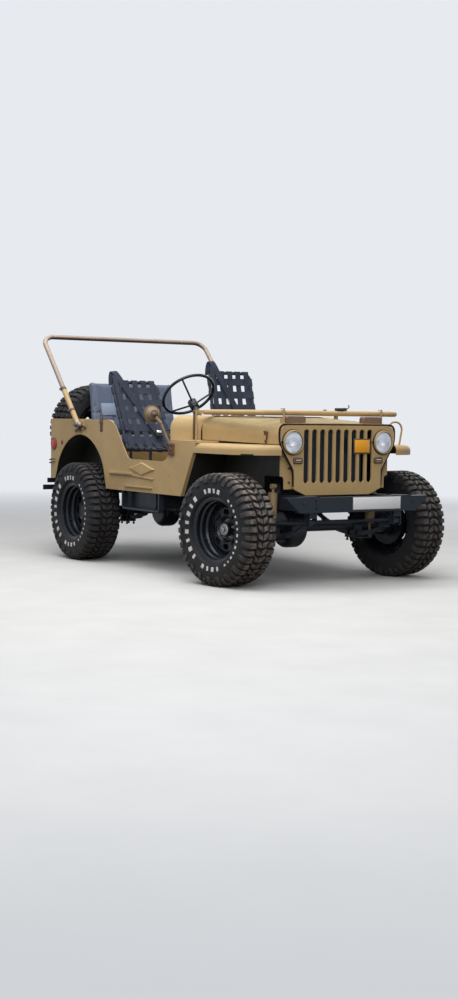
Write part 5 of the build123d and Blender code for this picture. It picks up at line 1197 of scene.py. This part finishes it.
# Bow: dark bracket with a wing nut over each pivot, clamps on the legs and a paler sleeve below them
bowLook = {
    "x": ahead(-2.090), "z": 1.030, "y": 0.755, "slope": (-0.655, 0, 0.705), "tube": 0.019,
    "arms": ((208, 0.100), (-12, 0.095), (262, 0.052)), "armY": 0.7375, "nutY": 0.7705,    # arms by angle and reach
    "clampHeights": (0.112, 0.280), "lug": 0.027,
    # profiles of (distance outside the tube, distance along it)
    "ring": ((0.0002, -0.011), (0.0035, -0.010), (0.0035, 0.010), (0.0002, 0.011)),
    "sleeve": ((0.0002, 0.045), (0.0010, 0.047), (0.0010, 0.366), (0.0002, 0.368)),
}
legWay = Vector(bowLook["slope"]).normalized()
ring, sleeve = ([(bowLook["tube"] + out, along) for out, along in bowLook[part]] for part in ("ring", "sleeve"))
brackets, clamps = bmesh.new(), bmesh.new()
for side in bothSides:
    outSide = toSide(side)
    plate = shift(bowLook["x"], side * bowLook["armY"], bowLook["z"])
    for angle, reach in bowLook["arms"]:
        arm = plate @ turned(-angle, "Y")
        addBox(brackets, (reach, 0.004, 0.019), arm @ shift(reach / 2, 0, 0), 0.0018)
        end = arm @ shift(reach - 0.014, side * 0.002, 0) @ outSide
        addDisc(brackets, 0.0075, 0.006, end, sides=6, bevel=0.001)
    addDisc(brackets, 0.030, 0.0045, plate @ outSide, bevel=0.001)
    nut = shift(bowLook["x"], side * bowLook["nutY"], bowLook["z"]) @ outSide
    addDisc(brackets, 0.0135, 0.012, nut, 1, sides=20, bevel=0.002)
    for wing in (-1, 1):
        spot = nut @ shift(wing * 0.019, 0, 0.012) @ turned(-28 * wing, "Y")
        addBox(brackets, (0.026, 0.005, 0.014), spot, 0.0018, slot=1)
    leg = shift(bowLook["x"], side * bowLook["y"], bowLook["z"]) @ facingTurn(legWay)
    for height in bowLook["clampHeights"]:
        clamp = leg @ shift(0, 0, height / legWay.z)
        addLathe(clamps, ring, clamp, steps=28)
        addBox(clamps, (0.016, 0.012, 0.018), clamp @ shift(-side * bowLook["lug"], 0, 0), 0.002)
        bolt = clamp @ shift(-side * (bowLook["lug"] + 0.001), -0.011, 0) @ turned(-90, "X")
        addDisc(clamps, 0.0055, 0.022, bolt, sides=6, bevel=0.001)
    addLathe(clamps, sleeve, leg, slot=1, steps=32)
finishPiece("bowBrackets", brackets, "chassis", ["brownPaint", "castIron"])
finishPiece("bowClamps", clamps, "bow", ["brownPaint", "bodyPaint"])

# Small rear details: two side handles by the tail, and little side lamps
tailLook = {
    "handle": ((-2.560, 0.727, 0.757), (-2.566, 0.752, 0.757), (-2.612, 0.752, 0.748), (-2.618, 0.727, 0.748)),
    "drops": (0.0, 0.024), "rod": 0.0045, "lamp": (ahead(-2.425), tubSide, 0.893),
    "cup": ((0.0, 0.0), (0.015, 0.0), (0.0152, 0.004), (0.012, 0.006), (0.011, 0.004), (0.0, 0.004)),
    "lens": ((0.0, 0.009), (0.006, 0.008), (0.011, 0.0045)),
}
piece = bmesh.new()
for side in bothSides:
    for drop in tailLook["drops"]:
        addRod(piece, [(ahead(x), side * y, z - drop) for x, y, z in tailLook["handle"]], 0.010, tailLook["rod"])
    x, y, z = tailLook["lamp"]
    lamp = shift(x, side * y, z) @ toSide(side)
    addLathe(piece, tailLook["cup"], lamp, steps=24)
    addLathe(piece, tailLook["lens"], lamp, slot=1, steps=24)
finishPiece("tailTrim", piece, "chassis", ["brownPaint", "redLens"])

# Nuts below and above the tie rod's ends
nutLook = {"x": 1.392, "y": 0.563, "nuts": ((0.3985, -1, 0.012), (0.4230, 1, 0.009))}    # height, way, size
for name, side in (("Right", -1), ("Left", 1)):
    piece = bmesh.new()
    for height, way, size in nutLook["nuts"]:
        boltHeads(piece, [(nutLook["x"], side * nutLook["y"], height)], (0, 0, way), size)
    finishPiece("rodNuts" + name, piece, "front_" + name.lower() + "_knuckle", ["brightSteel"])

# U-bolts that clamp each axle to its springs
clampLook = {
    "railY": 0.345, "offset": 0.030, "ahead": 0.041, "top": 0.4115, "low": 0.262, "rod": 0.0065, "nutZ": 0.273,
}
low, top = clampLook["low"], clampLook["top"]
piece = bmesh.new()
for axle in (frontAxle, rearAxle):
    back, front = axle - clampLook["ahead"], axle + clampLook["ahead"]
    for side in bothSides:
        for end in (-1, 1):
            y = side * clampLook["railY"] + end * clampLook["offset"]
            addRod(piece, [(back, y, low), (back, y, top), (front, y, top), (front, y, low)], 0.040, clampLook["rod"])
            boltHeads(piece, [(x, y, clampLook["nutZ"]) for x in (back, front)], (0, 0, -1), 0.009)
finishPiece("axleClamps", piece, "chassis", ["blackPaint"])
print("details")

# Floor, lights, sky and camera
bpy.ops.mesh.primitive_plane_add(size=60)
floor = bpy.context.object
floor.name = "floor"


def seenDirectly(tree):    # 1 for what the camera sees, also in a mirror or through glass
    rays = addNode(tree, "LightPath").outputs
    mirrored = calculate(tree, "MAXIMUM", rays["Is Glossy Ray"], rays["Is Transmission Ray"])
    return calculate(tree, "MAXIMUM", rays["Is Camera Ray"], mirrored)


stageLook = {
    "backdrop": (0.80, 0.83, 0.87), "skyLight": 0.36, "floorNear": (0.56, 0.555, 0.545),
    "floorBounce": (0.07, 0.065, 0.055), "fadeFrom": 3.5, "fadeTo": 11.0,
}
floorMaterial, tree, surface = newMaterial("floor")
place = addNode(tree, "TexCoord").outputs["Object"]
mottle = mapRange(tree, noiseField(tree, place, 2.5, detail=6.0), 0.3, 0.7, 0.92, 1.0)
seen = seenDirectly(tree)
pale = mixColors(tree, 1.0, (*stageLook["floorNear"], 1), mottle, blend="MULTIPLY")
tree.links.new(mixColors(tree, seen, (*stageLook["floorBounce"], 1), pale), surface.inputs["Base Color"])
surface.inputs["Roughness"].default_value = 0.9
surface.inputs["Specular IOR Level"].default_value = 0.1
away = addNode(tree, "VectorMath", {0: place}, operation="LENGTH").outputs["Value"]
fade = calculate(tree, "MULTIPLY", mapRange(tree, away, stageLook["fadeFrom"], stageLook["fadeTo"]), seen)
glow = addNode(tree, "Emission", {"Color": (*stageLook["backdrop"], 1)}).outputs[0]
mixed = addNode(tree, "MixShader", {0: fade, 1: surface.outputs[0], 2: glow}).outputs[0]
tree.links.new(mixed, tree.nodes["Material Output"].inputs["Surface"])
floor.data.materials.append(floorMaterial)

lights = {    # place, what it faces, size, watts
    "overhead": ((0.8, -1.2, 5.5), (0, 0, 0.6), 6.0, 460),
    "frontSide": ((6.0, -4.0, 3.6), (0, 0, 0.7), 3.5, 190),
    "farSide": ((-3.5, 6.0, 3.5), (0, 0, 0.8), 4.0, 90),
}
for name, (spot, faced, size, watts) in lights.items():
    light = bpy.data.lights.new(name, "AREA")
    light.size = size
    light.energy = watts
    holder = bpy.data.objects.new(name, light)
    holder.location = spot
    holder.rotation_euler = (Vector(faced) - Vector(spot)).to_track_quat("-Z", "Y").to_euler()
    bpy.context.scene.collection.objects.link(holder)

world = bpy.data.worlds.new("sky")
world.use_nodes = True
bpy.context.scene.world = world
tree = world.node_tree
background = tree.nodes["Background"]
background.inputs["Color"].default_value = (*stageLook["backdrop"], 1)
strength = mapRange(tree, seenDirectly(tree), 0.0, 1.0, stageLook["skyLight"], 1.0)
tree.links.new(strength, background.inputs["Strength"])

cameraLook = {"location": (9.62700, -5.98575, 1.12135), "rotation": (86.80597, -0.70967, 57.80900), "lens": 54.405}
camera = bpy.data.objects.new("camera", bpy.data.cameras.new("camera"))
camera.location = cameraLook["location"]
camera.rotation_euler = [radians(angle) for angle in cameraLook["rotation"]]
camera.data.lens = cameraLook["lens"]
camera.data.sensor_width = 36
bpy.context.scene.collection.objects.link(camera)
bpy.context.scene.camera = camera
bpy.context.scene.view_settings.view_transform = "Standard"
